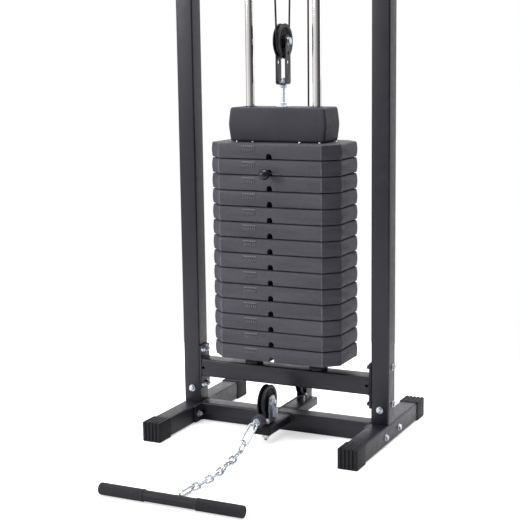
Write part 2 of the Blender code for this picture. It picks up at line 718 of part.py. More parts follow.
def bar_tab(name, base, axis):
    """Flat tab with a hole for a carabiner, standing out of a bar's middle; axis is its normal."""
    outline = [(-TAB_HALF, 0), (TAB_HALF, 0)] + arc((0, TAB_HOLE_REACH), TAB_ROUND, 0, 180, 8)
    hole = arc((0, TAB_HOLE_REACH), TAB_HOLE, 0, 360, 12)[:-1]
    return extruded(name, [outline, hole], TAB_THICK, axis, base)


def build_short_bar(swivel):
    """Short straight bar with a rubber grip on each end; it swivels about the tab's hole."""
    shoulder = BAR_HALF - BAR_GRIP_LENGTH
    half = [(0, BAR_HALF), (BAR_GRIP_RADIUS - 0.003, BAR_HALF), (BAR_GRIP_RADIUS, BAR_HALF - 0.003),
            (BAR_GRIP_RADIUS, shoulder), (BAR_TUBE_RADIUS, shoulder)]
    profile = half + [(r, -z) for r, z in reversed(half)]
    matrix = Matrix.Translation((0, BAR_Y, BAR_Z)) @ AXIS_TURN["X"]
    bar = turned("short_bar", profile, 24, matrix)
    set_origin(bar, swivel)
    join(bar, bar_tab("short_bar_tab", (TAB_X, BAR_Y, BAR_Z), "Z"))
    part(bar, "rubber")


def build_lat_bar(pivot):
    """Wide tube with drooping ends and a rubber grip on each; it tilts about the hook at pivot."""
    middle = Matrix.Translation(pivot - Vector((0, 0, TAB_HOLE_REACH + HOOK_SLACK)))
    half = [(LAT_BAR_FLAT, 0), (LAT_BAR_FLAT + 0.012, -0.0015), (LAT_BAR_FLAT + 0.024, -0.006),
            (LAT_BAR_TIP_X, -LAT_BAR_DROP)]
    half = [Vector((u, 0, v)) for u, v in half]
    bend, tip = half[-2:]
    along = (tip - bend).normalized()
    grip = [tip - along * LAT_GRIP_LENGTH, tip + along * 0.004]

    def both_ways(points):
        return [Vector((-p.x, 0, p.z)) for p in reversed(points)] + points

    bar = wire("lat_bar", both_ways(half), LAT_BAR_RADIUS, resolution=3, matrix=middle)
    set_origin(bar, pivot)
    for sign in (-1, 1):
        points = [(sign * p.x, 0, p.z) for p in grip]
        join(bar, wire("lat_grip", points, LAT_GRIP_RADIUS, resolution=4, matrix=middle))
    join(bar, bar_tab("lat_bar_tab", middle.translation, "Y"))
    bore = both_ways(half[:-1] + [tip + along * 0.030])
    cut(bar, wire("lat_bar_bore", bore, LAT_BAR_RADIUS - WALL, resolution=3, matrix=middle))
    part(bar, "frame_paint")


def build_low_handle():
    slack = RING_RADIUS - RING_WIRE - HOOK_WIRE - GAP
    stop_z = LOW_FRONT.z - CABLE_TURN
    eye = Vector((-0.002, LOW_STOP_REAR - STOP_LENGTH - 0.0072, stop_z - 0.0005))
    hang = Vector((0, -0.885, -0.466)).normalized()
    across = Matrix.Rotation(math.radians(-15), 3, hang) @ Vector((1, 0, 0))
    cable_stop("low_cable_stop", (0, LOW_STOP_REAR, stop_z), (0, -1, 0), eye, across)
    build_carabiner("low_carabiner", hook_frame(eye + hang * slack, hang, across))
    build_chain()
    tab_end = Vector((TAB_X, BAR_Y + TAB_HOLE_REACH + HOOK_SLACK, BAR_Z))
    build_short_bar(tab_end)
    chain_end = Vector(CHAIN_ROUTE[-1])
    along = (chain_end - tab_end).normalized()
    across = Matrix.Rotation(math.radians(-62), 3, along) @ Vector((1, 0, 0))
    build_carabiner("bar_carabiner", hook_frame(tab_end, along, across))


def build_lat_handle():
    slack = RING_RADIUS - RING_WIRE - HOOK_WIRE - GAP
    y = TOP_FRONT.y - CABLE_TURN
    eye = Vector((0, y, LAT_STOP_TOP - STOP_LENGTH - RING_RADIUS - 0.0002))
    cable_stop("lat_cable_stop", (0, y, LAT_STOP_TOP), (0, 0, -1), eye, (0, 1, 0))
    top = eye - Vector((0, 0, slack))
    build_carabiner("lat_carabiner", hook_frame(top, (0, 0, -1), (0, -1, 0)))
    build_lat_bar(top - Vector((0, 0, 2 * (HOOK_STRAIGHT + HOOK_RADIUS))))


def center_footprint():
    for ob in bpy.data.objects:
        if ob.parent is None:
            ob.location.y += FOOTPRINT_SHIFT


def main():
    clear_scene()
    build_feet()
    build_uprights()
    build_cross_tubes()
    build_guides()
    build_plates()
    build_top_block()
    build_stem()
    build_pin()
    build_pulleys()
    build_floating_bracket()
    build_low_front_bracket()
    build_cable()
    build_low_handle()
    build_lat_handle()
    center_footprint()


main()
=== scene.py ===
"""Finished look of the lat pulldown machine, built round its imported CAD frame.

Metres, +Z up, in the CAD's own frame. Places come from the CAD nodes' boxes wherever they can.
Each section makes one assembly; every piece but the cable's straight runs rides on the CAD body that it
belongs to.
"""
import math

import bmesh
import bpy
from mathutils import Matrix, Vector


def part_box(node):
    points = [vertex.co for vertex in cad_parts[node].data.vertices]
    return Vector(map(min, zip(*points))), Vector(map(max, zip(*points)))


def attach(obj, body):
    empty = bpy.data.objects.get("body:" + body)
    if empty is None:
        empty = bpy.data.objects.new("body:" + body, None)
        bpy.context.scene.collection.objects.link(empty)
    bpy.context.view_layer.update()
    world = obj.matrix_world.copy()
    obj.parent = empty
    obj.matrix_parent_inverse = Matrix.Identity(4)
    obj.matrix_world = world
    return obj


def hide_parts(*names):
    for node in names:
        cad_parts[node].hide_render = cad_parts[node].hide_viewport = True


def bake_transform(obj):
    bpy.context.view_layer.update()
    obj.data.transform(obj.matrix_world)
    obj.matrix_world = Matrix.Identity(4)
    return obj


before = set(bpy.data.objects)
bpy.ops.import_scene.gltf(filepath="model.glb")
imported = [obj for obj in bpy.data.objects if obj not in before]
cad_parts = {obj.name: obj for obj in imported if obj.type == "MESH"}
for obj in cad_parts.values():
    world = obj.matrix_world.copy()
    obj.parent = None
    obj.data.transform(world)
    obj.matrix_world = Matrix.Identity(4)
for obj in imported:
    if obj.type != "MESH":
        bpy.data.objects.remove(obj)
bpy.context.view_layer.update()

X, Y, Z = Vector((1, 0, 0)), Vector((0, 1, 0)), Vector((0, 0, 1))
HERE = Matrix.Identity(4)
SIDES = (("left", -1), ("right", 1))

# Driving sizes, as the CAD has them
WALL = 0.002                    # frame tube
TUBE_CORNER = 0.0045            # outside radius of the tube's corners
FLANGE = 0.005
FLOOR_PLATE_DEPTH = 0.13        # end plates of the lower cross tube
BEAM_HEIGHT = 0.025             # flat tube that carries the low pulleys
WELD, WELD_RIPPLE = 0.0022, 0.14                    # half width of a bead, and its swelling
CABLE_RADIUS, CABLE_TURN = 0.0025, 0.039
LEG_INSIDE, LEG_THICK = 0.011, 0.004
LEG_OUTSIDE = LEG_INSIDE + LEG_THICK
STRAP_THICK, STRAP_BEND = 0.003, 0.006
PLATE_COUNT, PIN_PLATE = 14, 2
PLATE_CORNER, PLATE_CLEARANCE = 0.041, 0.0006
ROD_X, ROD_HOLE, STEM_HOLE = 0.0964, 0.0145, 0.012
SLOT_WIDTH, SLOT_HEIGHT = 0.016, 0.015
PIN_RISE, PIN_HOLE = 0.0055, 0.0054
MARK_X, MARK_WIDTH, MARK_RISE = -0.059, 0.038, 0.0008
MARK_PANEL = (-0.0225, -0.0115)                     # its low and high edge under a plate's top
RING_RADIUS, RING_WIRE = 0.0075, 0.002
HOOK_RADIUS, HOOK_STRAIGHT, HOOK_WIRE = 0.01, 0.027, 0.003
GATE_WIRE, GATE_LOW, GATE_HIGH, GATE_MOUTH = 0.0025, -0.0168, 0.0176, 0.019
HOOK_SLACK = 0.002                                  # hook's wire past the middle of a tab's hole
LOW_HOOK_TURN, BAR_HOOK_TURN, LAT_HOOK_TURN = -15, -62, 90        # degrees about their length
RING_SLACK = RING_RADIUS - RING_WIRE - HOOK_WIRE - 0.0003
TAB_X, TAB_HALF, TAB_REACH = 0.006, 0.017, 0.023
LINK_WIRE, LINK_RADIUS = 0.0025, 0.0075
LINK_TURNS = (-75, 30, 135, 195, 255, 315, 405, 495, 585, 675)   # degrees about the chain
CHAIN_ROUTE = [
    (-0.002, -0.2575, 0.0368), (-0.002, -0.283, 0.018), (-0.0035, -0.313, 0.0104),
    (-0.0005, -0.345, 0.0098), (0.0045, -0.378, 0.0098), (0.009, -0.415, 0.0098),
    (0.011, -0.448, 0.0098), (0.0095, -0.48, 0.0098), (0.0075, -0.512, 0.0102),
    (0.006, -0.548, 0.0122),
]
PULLEYS = ("top_front_pulley", "top_middle_pulley", "top_rear_pulley", "floating_pulley",
           "low_rear_pulley", "low_front_pulley")


def box_centre(node):
    low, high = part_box(node)
    return (low + high) / 2


PLANE_Y = box_centre("upright_left").y          # plane of the uprights and guide rods
COLUMN_X = box_centre("upright_right").x
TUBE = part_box("upright_right")[1].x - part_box("upright_right")[0].x


# -------- camera, floor and light

CAMERA_PLACE = Vector((1.3671, -2.775, 1.026))
CAMERA_AZIMUTH, CAMERA_DOWN, CAMERA_ROLL = 25.89, 9.63, -0.78       # degrees
CAMERA_LENS, SENSOR = 85.33, 36.0                                   # millimetres
ROOM_LIGHT, FLOOR_GLOW, FLOOR_RADIUS, FLOOR_DROP = 1.35, 0.52, 1.25, 0.0002
ROOM_TINT = (0.985, 0.965, 1.0)
ROOM_BANDS = [                  # (share of a turn about Z, brightness)
    (0.000, 0.7), (0.167, 0.73), (0.206, 0.36), (0.25, 0.66), (0.286, 0.31), (0.317, 0.15),
    (0.356, 0.22), (0.389, 0.09), (0.436, 0.035), (0.494, 0.09), (0.54, 0.42), (0.583, 0.66),
    (0.678, 0.58), (0.75, 0.9), (0.806, 1.00), (0.87, 1.00), (0.94, 0.75),
]


def filled(tree, node, values):
    """Sets a node's inputs: an output of another node is linked, anything else is a value."""
    for key, value in values.items():
        if isinstance(value, bpy.types.NodeSocket):
            tree.links.new(value, node.inputs[key])
        else:
            node.inputs[key].default_value = value
    return node


def new_node(tree, kind, values):
    """A new shader node with its inputs set."""
    return filled(tree, tree.nodes.new("ShaderNode" + kind), values)


def build_camera():
    data = bpy.data.cameras.new("camera")
    data.lens, data.sensor_width = CAMERA_LENS, SENSOR
    data.clip_start, data.clip_end = 0.05, 100
    camera = bpy.data.objects.new("camera", data)
    bpy.context.scene.collection.objects.link(camera)
    turn = (Matrix.Rotation(math.radians(CAMERA_AZIMUTH), 4, "Z")
            @ Matrix.Rotation(math.radians(90 - CAMERA_DOWN), 4, "X")
            @ Matrix.Rotation(math.radians(CAMERA_ROLL), 4, "Z"))
    camera.matrix_world = Matrix.Translation(CAMERA_PLACE) @ turn
    bpy.context.scene.camera = camera


def area_light(name, place, target, size, power):
    """A rectangular light at place that faces target."""
    data = bpy.data.lights.new(name, "AREA")
    data.shape, data.size, data.size_y = "RECTANGLE", size[0], size[1]
    data.energy = power
    light = bpy.data.objects.new(name, data)
    bpy.context.scene.collection.objects.link(light)
    light.location = place
    light.rotation_euler = (Vector(target) - Vector(place)).to_track_quat("-Z", "Y").to_euler()


def build_world():
    """White behind the machine; for reflections, a bright room with darker upright bands in it."""
    world = bpy.data.worlds.new("studio")
    bpy.context.scene.world = world
    world.use_nodes = True
    tree = world.node_tree
    backdrop = filled(tree, tree.nodes["Background"], {"Color": (1, 1, 1, 1), "Strength": 1.0})
    where = new_node(tree, "TexCoord", {}).outputs["Generated"]
    parts = new_node(tree, "SeparateXYZ", {0: where}).outputs
    around = new_node(tree, "Math", {0: parts["Y"], 1: parts["X"]})
    around.operation = "ARCTAN2"
    turn = new_node(tree, "MapRange", {"Value": around.outputs[0], "From Min": -math.pi,
                                       "From Max": math.pi})
    bands = new_node(tree, "ValToRGB", {0: turn.outputs[0]})
    bands.color_ramp.interpolation = "EASE"
    ramp = bands.color_ramp.elements
    while len(ramp) < len(ROOM_BANDS):
        ramp.new(0.5)
    for stop, (position, value) in zip(ramp, ROOM_BANDS):
        stop.position = position
        stop.color = (*(value * part for part in ROOM_TINT), 1)
    room = new_node(tree, "Background", {"Color": bands.outputs[0], "Strength": ROOM_LIGHT})
    seen = new_node(tree, "LightPath", {}).outputs["Is Camera Ray"]
    choose = new_node(tree, "MixShader", {0: seen, 1: room.outputs[0], 2: backdrop.outputs[0]})
    filled(tree, tree.nodes["World Output"], {"Surface": choose.outputs[0]})


def build_floor():
    """White disc under the machine; only the camera sees its glow."""
    bm = bmesh.new()
    bmesh.ops.create_circle(bm, cap_ends=True, segments=96, radius=FLOOR_RADIUS)
    floor = new_object("floor", bm)
    floor.location.z = -FLOOR_DROP
    paint = bpy.data.materials.new("floor")
    paint.use_nodes = True
    tree = paint.node_tree
    seen = new_node(tree, "LightPath", {}).outputs["Is Camera Ray"]
    glow = new_node(tree, "MapRange", {"Value": seen, "To Min": 0.0, "To Max": FLOOR_GLOW})
    filled(tree, tree.nodes["Principled BSDF"],
           {"Base Color": (0.93, 0.93, 0.94, 1), "Roughness": 0.65,
            "Emission Color": (1, 1, 1, 1), "Emission Strength": glow.outputs[0]})
    floor.data.materials.append(paint)


def build_studio():
    bpy.context.scene.view_settings.view_transform = "Standard"
    build_camera()
    build_world()
    area_light("key", (-2.7, -3.0, 2.4), (0, 0.2, 0.7), (1.8, 2.2), 92)
    area_light("side", (2.8, 2.6, 2.0), (0.1, 0.2, 0.6), (1.6, 2.6), 12)
    area_light("top", (0.2, 0.3, 4.4), (0, 0.2, 0), (2.6, 2.6), 170)
    build_floor()


# -------- materials


class Surface:
    """The nodes of one Principled material, from noise in the object's own coordinates.

    A noise is written (scale, detail), with its stretch along the axes and its kind after them.
    """

    def __init__(self, name, metallic, gloss):
        self.material = bpy.data.materials.new(name)
        self.material.use_nodes = True
        self.tree = self.material.node_tree
        self.where = new_node(self.tree, "TexCoord", {}).outputs["Object"]
        self.fill({"Metallic": metallic, "Specular IOR Level": gloss})

    def fill(self, values):
        filled(self.tree, self.tree.nodes["Principled BSDF"], values)

    def noise(self, scale, detail, stretch=(1, 1, 1), kind="TexNoise"):
        mapping = new_node(self.tree, "Mapping", {"Vector": self.where, "Scale": stretch})
        values = {"Vector": mapping.outputs[0], "Scale": scale, "Detail": detail}
        return new_node(self.tree, kind, values).outputs[0]

    def spread(self, value, low, high, start=0.35, end=0.65):
        """The value's middle band, stretched to run from low to high."""
        return new_node(self.tree, "MapRange", {"Value": value, "From Min": start, "From Max": end,
                                                "To Min": low, "To Max": high}).outputs[0]

    def mixed(self, share, first, second):
        """first and second are colours, or outputs of other nodes."""
        node = new_node(self.tree, "Mix", {})
        node.data_type = "RGBA"
        first, second = ((*c, 1) if isinstance(c, tuple) else c for c in (first, second))
        return filled(self.tree, node, {0: share, 6: first, 7: second}).outputs[2]

    def edges(self, start=0.52, end=0.62):
        """0 on flat faces, rising to 1 on the mesh's outward edges."""
        point = new_node(self.tree, "NewGeometry", {}).outputs["Pointiness"]
        return self.spread(point, 0, 1, start, end)

    def flecks(self, noise, start, end):
        """1 where the noise is high."""
        return self.spread(self.noise(*noise), 0, 1, start, end)

    def painted_corner_highlight(self, noise):
        """Mask for a painted highlight: the mesh's own per-vertex corner value, broken up by a noise.
        """
        corner_highlight = new_node(self.tree, "Attribute", {})
        corner_highlight.attribute_name = "corner_highlight"
        patches = self.spread(self.noise(*noise), 0.25, 1.0)
        node = new_node(self.tree, "Math", {0: corner_highlight.outputs["Fac"], 1: patches})
        node.operation = "MULTIPLY"
        return node.outputs[0]


def surface(name, base, rough, bumps, layers=(), metallic=0.0, gloss=0.5):
    """A material from base (noise, dark, light), rough (noise, low, high) and bumps, a list of
    (noise, strength, depth). layers lists (mask, colour), each laid over the ones before."""
    s = Surface(name, metallic, gloss)
    noise, dark, light = base
    colour = s.mixed(s.spread(s.noise(*noise), 0, 1), dark, light)
    for mask, cover in layers:
        colour = s.mixed(mask(s), colour, cover)
    noise, low, high = rough
    s.fill({"Base Color": colour, "Roughness": s.spread(s.noise(*noise), low, high)})
    under = {}
    for noise, strength, depth in bumps:
        values = {"Strength": strength, "Distance": depth, "Height": s.noise(*noise)}
        under = {"Normal": new_node(s.tree, "Bump", values | under).outputs[0]}
    s.fill(under)
    return s.material


def scaled(tone, *colours):
    """The colours, each multiplied by tone."""
    return [tuple(tone * part for part in colour) for colour in colours]


def hard_plastic(name, tone, rough, grain=900.0, gloss=0.22, edge_highlight=2.4):
    """Moulded black plastic for caps, plugs, the knob and the pulleys; its paler edges are a painted
    highlight.
    """
    dark, light = scaled(tone, (0.82, 0.76, 1.22), (1.15, 1.07, 1.65))
    return surface(name, ((30.0, 4.0), dark, light),
                   ((120.0, 3.0), rough - 0.05, rough + 0.06), [((grain, 2.0), 0.22, 0.00012)],
                   [(Surface.edges, *scaled(tone * edge_highlight, (1.0, 0.96, 1.17)))], gloss=gloss)


def zinc_plate(name, tone, metallic=1.0):
    """Zinc on fasteners, chain and carabiners: bluish, with a soft grain and dull patches."""
    dull, bright, patch = scaled(tone, (0.53, 0.58, 0.64), (0.64, 0.69, 0.74), (0.46, 0.5, 0.56))
    return surface(name, ((60.0, 4.0), dull, bright), ((160.0, 4.0), 0.24, 0.36),
                   [((1500.0, 2.0), 0.05, 0.00005)],
                   [(lambda s: s.flecks((420.0, 3.0), 0.58, 0.8), patch)], metallic)


def rubber_grip(name, tone):
    """Matt rubber with a close pebble grain, dusty in the hollows, with a painted highlight on its
    edges.
    """
    pebbles = (750.0, 3.0, (1, 1, 1), "TexVoronoi")
    dark, light, dust = scaled(tone, (0.0056, 0.0052, 0.0076), (0.0088, 0.0083, 0.0114),
                               (0.012, 0.0114, 0.015))
    return surface(name, ((25.0, 4.0), dark, light), ((200.0, 3.0), 0.66, 0.82),
                   [(pebbles, 0.35, 0.00015)],
                   [(lambda s: s.flecks(pebbles, 0.1, 0.7), dust),
                    (Surface.edges, (0.05, 0.048, 0.058))], gloss=0.32)


# Fine textured black paint: orange peel, a slightly greyer bloom and softly paler edges
PAINT = surface("powder_coat",
                ((7.0, 4.0), (0.0042, 0.0036, 0.0098), (0.0068, 0.006, 0.0135)),
                ((55.0, 5.0), 0.34, 0.44),
                [((900.0, 2.0), 0.3, 0.00012), ((150.0, 2.0), 0.12, 0.0003)],
                [(Surface.edges, (0.014, 0.013, 0.021))])
# Moulded shell of the plates: a fine sand grain, faint flow streaks along X, paler edges and corners as
# a painted highlight
PLATE = surface("plate_plastic",
                ((16.0, 5.0, (0.35, 1.0, 3.0)), (0.037, 0.0357, 0.0475), (0.06, 0.058, 0.074)),
                ((90.0, 4.0), 0.52, 0.66),
                [((1100.0, 2.0), 0.4, 0.00016), ((260.0, 3.0), 0.18, 0.00025)],
                [(lambda s: s.flecks((700.0, 2.0), 0.45, 0.75), (0.078, 0.076, 0.09)),
                 # painted highlight: paler edges, and light lines down the rounded corners
                 (lambda s: s.edges(0.56, 0.7), (0.085, 0.083, 0.097)),
                 (lambda s: s.painted_corner_highlight((45.0, 4.0, (1.0, 1.0, 2.0))), (0.16, 0.157, 0.178))],
                gloss=0.42)
# The top block's skin, darker and closer than the plates'
BLOCK = surface("block_plastic",
                ((12.0, 4.0), (0.043, 0.0414, 0.053), (0.054, 0.0521, 0.066)),
                ((80.0, 4.0), 0.46, 0.58),
                [((1300.0, 2.0), 0.35, 0.00014), ((40.0, 2.0), 0.15, 0.0008)],
                [(Surface.edges, (0.06, 0.058, 0.07))], gloss=0.2)
# Paler, rubbed plastic of the plates' raised markings
LABEL = surface("label_plastic",
                ((240.0, 3.0), (0.125, 0.122, 0.14), (0.205, 0.202, 0.222)),
                ((300.0, 3.0), 0.5, 0.62), [((1200.0, 2.0), 0.3, 0.00012)])
# Polished chrome with a faint haze and fine polishing lines along Z
CHROME = surface("chrome_plate",
                 ((6.0, 3.0), (0.8, 0.79, 0.755), (0.88, 0.87, 0.83)), ((22.0, 5.0), 0.045, 0.11),
                 [((900.0, 2.0, (1, 1, 0.01)), 0.04, 0.00005)], metallic=1.0)
# Glossy black coat, faintly rippled by the strands under it
SHEATH = surface("cable_sheath",
                 ((50.0, 3.0), (0.007, 0.007, 0.008), (0.012, 0.012, 0.013)),
                 ((90.0, 3.0), 0.26, 0.38), [((420.0, 1.0, (1, 1, 0.6)), 0.15, 0.00012)])
# Paler edges on caps and pulleys are a painted highlight on their ribs and raised rings, tenfold on the
# pulleys
CAP = hard_plastic("cap_plastic", 0.0062, 0.54)
NYLON = hard_plastic("pulley_nylon", 0.003, 0.4, 1400.0, 0.3, 10)
KNOB = hard_plastic("knob_plastic", 0.0075, 0.3, 1800.0, 0.45)
BAR = hard_plastic("bar_coat", 0.0062, 0.5)
PANEL = hard_plastic("panel_plastic", 0.024, 0.5, gloss=0.3)
ZINC = zinc_plate("zinc_plate", 1.0)
# A lighter copy of the zinc for the hanger rod, washer and nuts: painted light for the light they catch
LIT_ZINC = zinc_plate("lit_zinc", 1.42, 0.45)
# A darker copy of the zinc for the low front bracket: painted shade
SHADED_ZINC = zinc_plate("shaded_zinc", 0.68)
RUBBER = rubber_grip("rubber_grip", 1.0)
# The stops: the grip rubber made 4.6 times paler, a painted highlight for the light on their tops and
# edges
STOP = rubber_grip("stop_rubber", 4.6)


# -------- modelling helpers

AXIS_TURN = {
    "X": Matrix(((0, 0, 1), (1, 0, 0), (0, 1, 0))).to_4x4(),     # outline in y, z
    "Y": Matrix(((1, 0, 0), (0, 0, -1), (0, 1, 0))).to_4x4(),    # outline in x, z
    "Z": HERE,                                                    # outline in x, y
}


def new_object(name, bm, matrix=HERE):
    """An object whose mesh is already in place, so that textures run in the frame's metres."""
    mesh = bpy.data.meshes.new(name)
    bm.to_mesh(mesh)
    bm.free()
    mesh.transform(matrix)
    ob = bpy.data.objects.new(name, mesh)
    bpy.context.scene.collection.objects.link(ob)
    return ob


def show(ob, replaces=(), material=PAINT, body="frame", smooth=35):
    """Hides the CAD nodes that a piece stands for, and gives it its material and its body."""
    ob.data.materials.clear()
    ob.data.materials.append(material)
    ob.data.shade_smooth()
    ob.data.set_sharp_from_angle(angle=math.radians(smooth))
    if isinstance(body, str):
        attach(ob, body)
    if replaces:
        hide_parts(*replaces)
    return ob


def piece(name, bm, matrix=HERE, material=PAINT, body="frame", replaces=(), smooth=35):
    """A finished piece straight from its mesh, moved by matrix."""
    return show(new_object(name, bm, matrix), replaces, material, body, smooth)


def shift(x=0.0, y=0.0, z=0.0):
    return Matrix.Translation((x, y, z))


def at(place, direction=Z):
    """Matrix that takes the origin to place and local +Z to direction."""
    turn = Vector(direction).to_track_quat("Z", "Y").to_matrix().to_4x4()
    return Matrix.Translation(Vector(place)) @ turn


def on_axis(place, axis):
    """Matrix that takes the origin to place, with an outline's thickness along axis."""
    return Matrix.Translation(Vector(place)) @ AXIS_TURN[axis]


def arc(centre, radius, start, end, steps):
    """Points on a circle from start to end degrees."""
    angles = [math.radians(start + (end - start) * i / steps) for i in range(steps + 1)]
    return [(centre[0] + radius * math.cos(a), centre[1] + radius * math.sin(a)) for a in angles]


def polar(radius, angle, z=0.0):
    """A point at an angle about Z."""
    return radius * math.cos(angle), radius * math.sin(angle), z


def turns(count):
    """Angles that divide a whole turn evenly."""
    return [2 * math.pi * i / count for i in range(count)]


def rounded_rectangle(width, height, radius, steps=6):
    """Points round a rectangle about the origin."""
    points = []
    for sx, sy, start in ((1, 1, 0), (-1, 1, 90), (-1, -1, 180), (1, -1, 270)):
        centre = (sx * (width / 2 - radius), sy * (height / 2 - radius))
        points += arc(centre, radius, start, start + 90, steps)
    return points


def skinned(bm, rings, caps=True):
    """Adds faces from each ring of vertices to the next, and over both ends."""
    for first, second in zip(rings, rings[1:]):
        for i in range(len(first)):
            j = (i + 1) % len(first)
            corners = list(dict.fromkeys((first[i], first[j], second[j], second[i])))
            if len(corners) > 2:
                bm.faces.new(corners)
    if caps:
        bm.faces.new(rings[0])
        bm.faces.new(rings[-1])
    bmesh.ops.recalc_face_normals(bm, faces=bm.faces)
    return bm


def lathe(profile, steps=64, closed=False):
    """A profile of (radius, height) points turned about Z; points at radius 0 close it."""
    bm = bmesh.new()
    rings = []
    for radius, height in profile:
        if radius < 1e-7:
            rings.append([bm.verts.new((0, 0, height))] * steps)
        else:
            rings.append([bm.verts.new(polar(radius, a, height)) for a in turns(steps)])
    return skinned(bm, rings + rings[:1] if closed else rings, caps=False)


def softened(profile, radius, steps=3):
    """An open profile with its inner corners rounded."""
    points = [Vector(p) for p in profile]
    result = [points[0]]
    for before, corner, after in zip(points, points[1:], points[2:]):
        into, out = (corner - before), (after - corner)
        reach = min(radius, into.length * 0.45, out.length * 0.45)
        start, end = corner - into.normalized() * reach, corner + out.normalized() * reach
        for i in range(steps + 1):
            t = i / steps
            result.append(start.lerp(corner, t).lerp(corner.lerp(end, t), t))
    return [tuple(p) for p in result + [points[-1]]]


def rod_bm(radius, low, high, steps=32, rounding=0.0):
    """A round bar along Z between two heights."""
    profile = [(0, high), (radius, high), (radius, low), (0, low)]
    return lathe(softened(profile, rounding) if rounding else profile, steps)


def sweep(points, radius, sides=16, cyclic=False, flat=False, ripple=0.0):
    """A round wire along points, its ends domed or flat; ripple swells it, as a weld bead is."""
    points = [Vector(p) for p in points]
    count = len(points)
    tangents = []
    for i in range(count):
        before = points[i - 1] if i or cyclic else points[0]
        after = points[(i + 1) % count] if i < count - 1 or cyclic else points[-1]
        tangents.append((after - before).normalized())
    side = tangents[0].orthogonal().normalized()
    rings = []
    for i, (point, along) in enumerate(zip(points, tangents)):
        if i:
            side = tangents[i - 1].rotation_difference(along) @ side
        rings.append((point, side.copy(), along.cross(side).normalized(), along,
                      radius * (1 + ripple * math.sin(2.1 * i))))
    if not cyclic and not flat:
        for end, sign in ((0, -1), (-1, 1)):
            point, u, v, along, r = rings[end]
            dome = [(point + along * sign * r * math.sin(a), u, v, along, r * math.cos(a))
                    for a in (math.pi / 6, math.pi / 3, math.pi * 0.45)]
            rings = dome[::-1] + rings if end == 0 else rings + dome
    bm = bmesh.new()
    loops = [[bm.verts.new(point + u * r * math.cos(a) + v * r * math.sin(a)) for a in turns(sides)]
             for point, u, v, _, r in rings]
    if cyclic:
        first, last = rings[0], rings[-1]
        closing = math.atan2(last[1].cross(first[1]).dot(first[3]), last[1].dot(first[1]))
        offset = round(-closing / (2 * math.pi / sides)) % sides
        loops.append(loops[0][offset:] + loops[0][:offset])
    return skinned(bm, loops, caps=not cyclic)


def baked_mesh(ob):
    """A mesh of the object as its curve settings or modifiers leave it."""
    bpy.context.view_layer.update()
    return bpy.data.meshes.new_from_object(
        ob.evaluated_get(bpy.context.evaluated_depsgraph_get()))


def plate_bm(outlines, thickness, edge=0.0004):
    """A flat outline with any holes, thickness thick about z = 0, its edges slightly rounded."""
    data = bpy.data.curves.new("outline", "CURVE")
    data.dimensions, data.fill_mode = "2D", "BOTH"
    data.extrude, data.bevel_depth, data.offset = thickness / 2 - edge, edge, -edge
    data.bevel_resolution = 2
    for outline in outlines:
        spline = data.splines.new("POLY")
        spline.points.add(len(outline) - 1)
        for point, (u, v) in zip(spline.points, outline):
            point.co = (u, v, 0, 1)
        spline.use_cyclic_u = True
    holder = bpy.data.objects.new("outline", data)
    bpy.context.scene.collection.objects.link(holder)
    mesh = baked_mesh(holder)
    bpy.data.objects.remove(holder, do_unlink=True)
    bm = bmesh.new()
    bm.from_mesh(mesh)
    bpy.data.meshes.remove(mesh)
    bmesh.ops.remove_doubles(bm, verts=bm.verts, dist=0.00001)
    bmesh.ops.recalc_face_normals(bm, faces=bm.faces)
    return bm


def block_bm(low, high, radius, segments=3):
    """A box with rounded edges."""
    low, high = Vector(low), Vector(high)
    bm = bmesh.new()
    bmesh.ops.create_cube(bm, size=1)
    bmesh.ops.scale(bm, verts=bm.verts, vec=high - low)
    bmesh.ops.translate(bm, verts=bm.verts, vec=(low + high) / 2)
    bmesh.ops.bevel(bm, geom=bm.edges, offset=radius, segments=segments, profile=0.5,
                    affect="EDGES")
    return bm


def cut(ob, *tools):
    """Cuts the tools' shapes from ob for good, and removes them."""
    for tool in tools:
        modifier = ob.modifiers.new("cut", "BOOLEAN")
        modifier.operation, modifier.solver, modifier.object = "DIFFERENCE", "EXACT", tool
    mesh = baked_mesh(ob)
    ob.modifiers.clear()
    ob.data = mesh
    for tool in tools:
        bpy.data.objects.remove(tool, do_unlink=True)
    return ob


def merged(*meshes):
    """One bmesh from several (bmesh, matrix) pairs; the parts stay separate shells."""
    whole = bmesh.new()
    for bm, matrix in meshes:
        part = bpy.data.meshes.new("part")
        bm.to_mesh(part)
        bm.free()
        part.transform(matrix)
        whole.from_mesh(part)
        bpy.data.meshes.remove(part)
    return whole


# -------- fasteners

FLATS = {0.005: 0.008, 0.006: 0.01, 0.008: 0.013, 0.01: 0.017}       # across a head, by thread
WASHER_THICK, BOLT_WASHER, COLUMN_WASHER, AXLE_WASHER = 0.0016, 0.0092, 0.0095, 0.0105


def hex_bm(flats, height, bore=0.0):
    """A hexagon head or nut from z = 0 up, its corners turned down to a chamfer."""
    chamfer, sink = math.radians(28), 0.0006
    face = flats / 2 * 0.96
    angles = turns(48)
    reach = [flats / 2 / math.cos((a + math.pi / 6) % (math.pi / 3) - math.pi / 6) for a in angles]
    drop = [max(r - face, 0) * math.tan(chamfer) for r in reach]
    levels = [(face, 0), (reach, drop if bore else 0), (reach, [height - d for d in drop]),
              (face, height)]
    if bore:
        levels += [(bore + sink, height), (bore, height - sink), (bore, sink), (bore + sink, 0)]
    bm = bmesh.new()
    rings = []
    for level in levels:
        radii, heights = (v if isinstance(v, list) else [v] * len(angles) for v in level)
        rings.append([bm.verts.new(polar(r, a, z)) for r, a, z in zip(radii, angles, heights)])
    return skinned(bm, rings + rings[:1] if bore else rings, caps=not bore)


def washer_bm(radius, thick, bore):
    """A flat washer from z = 0 up, its outer edges chamfered."""
    edge = min(0.0004, thick / 3)
    profile = [(bore, thick), (radius - edge, thick), (radius, thick - edge), (radius, edge),
               (radius - edge, 0), (bore, 0)]
    return lathe(profile, 48, closed=True)


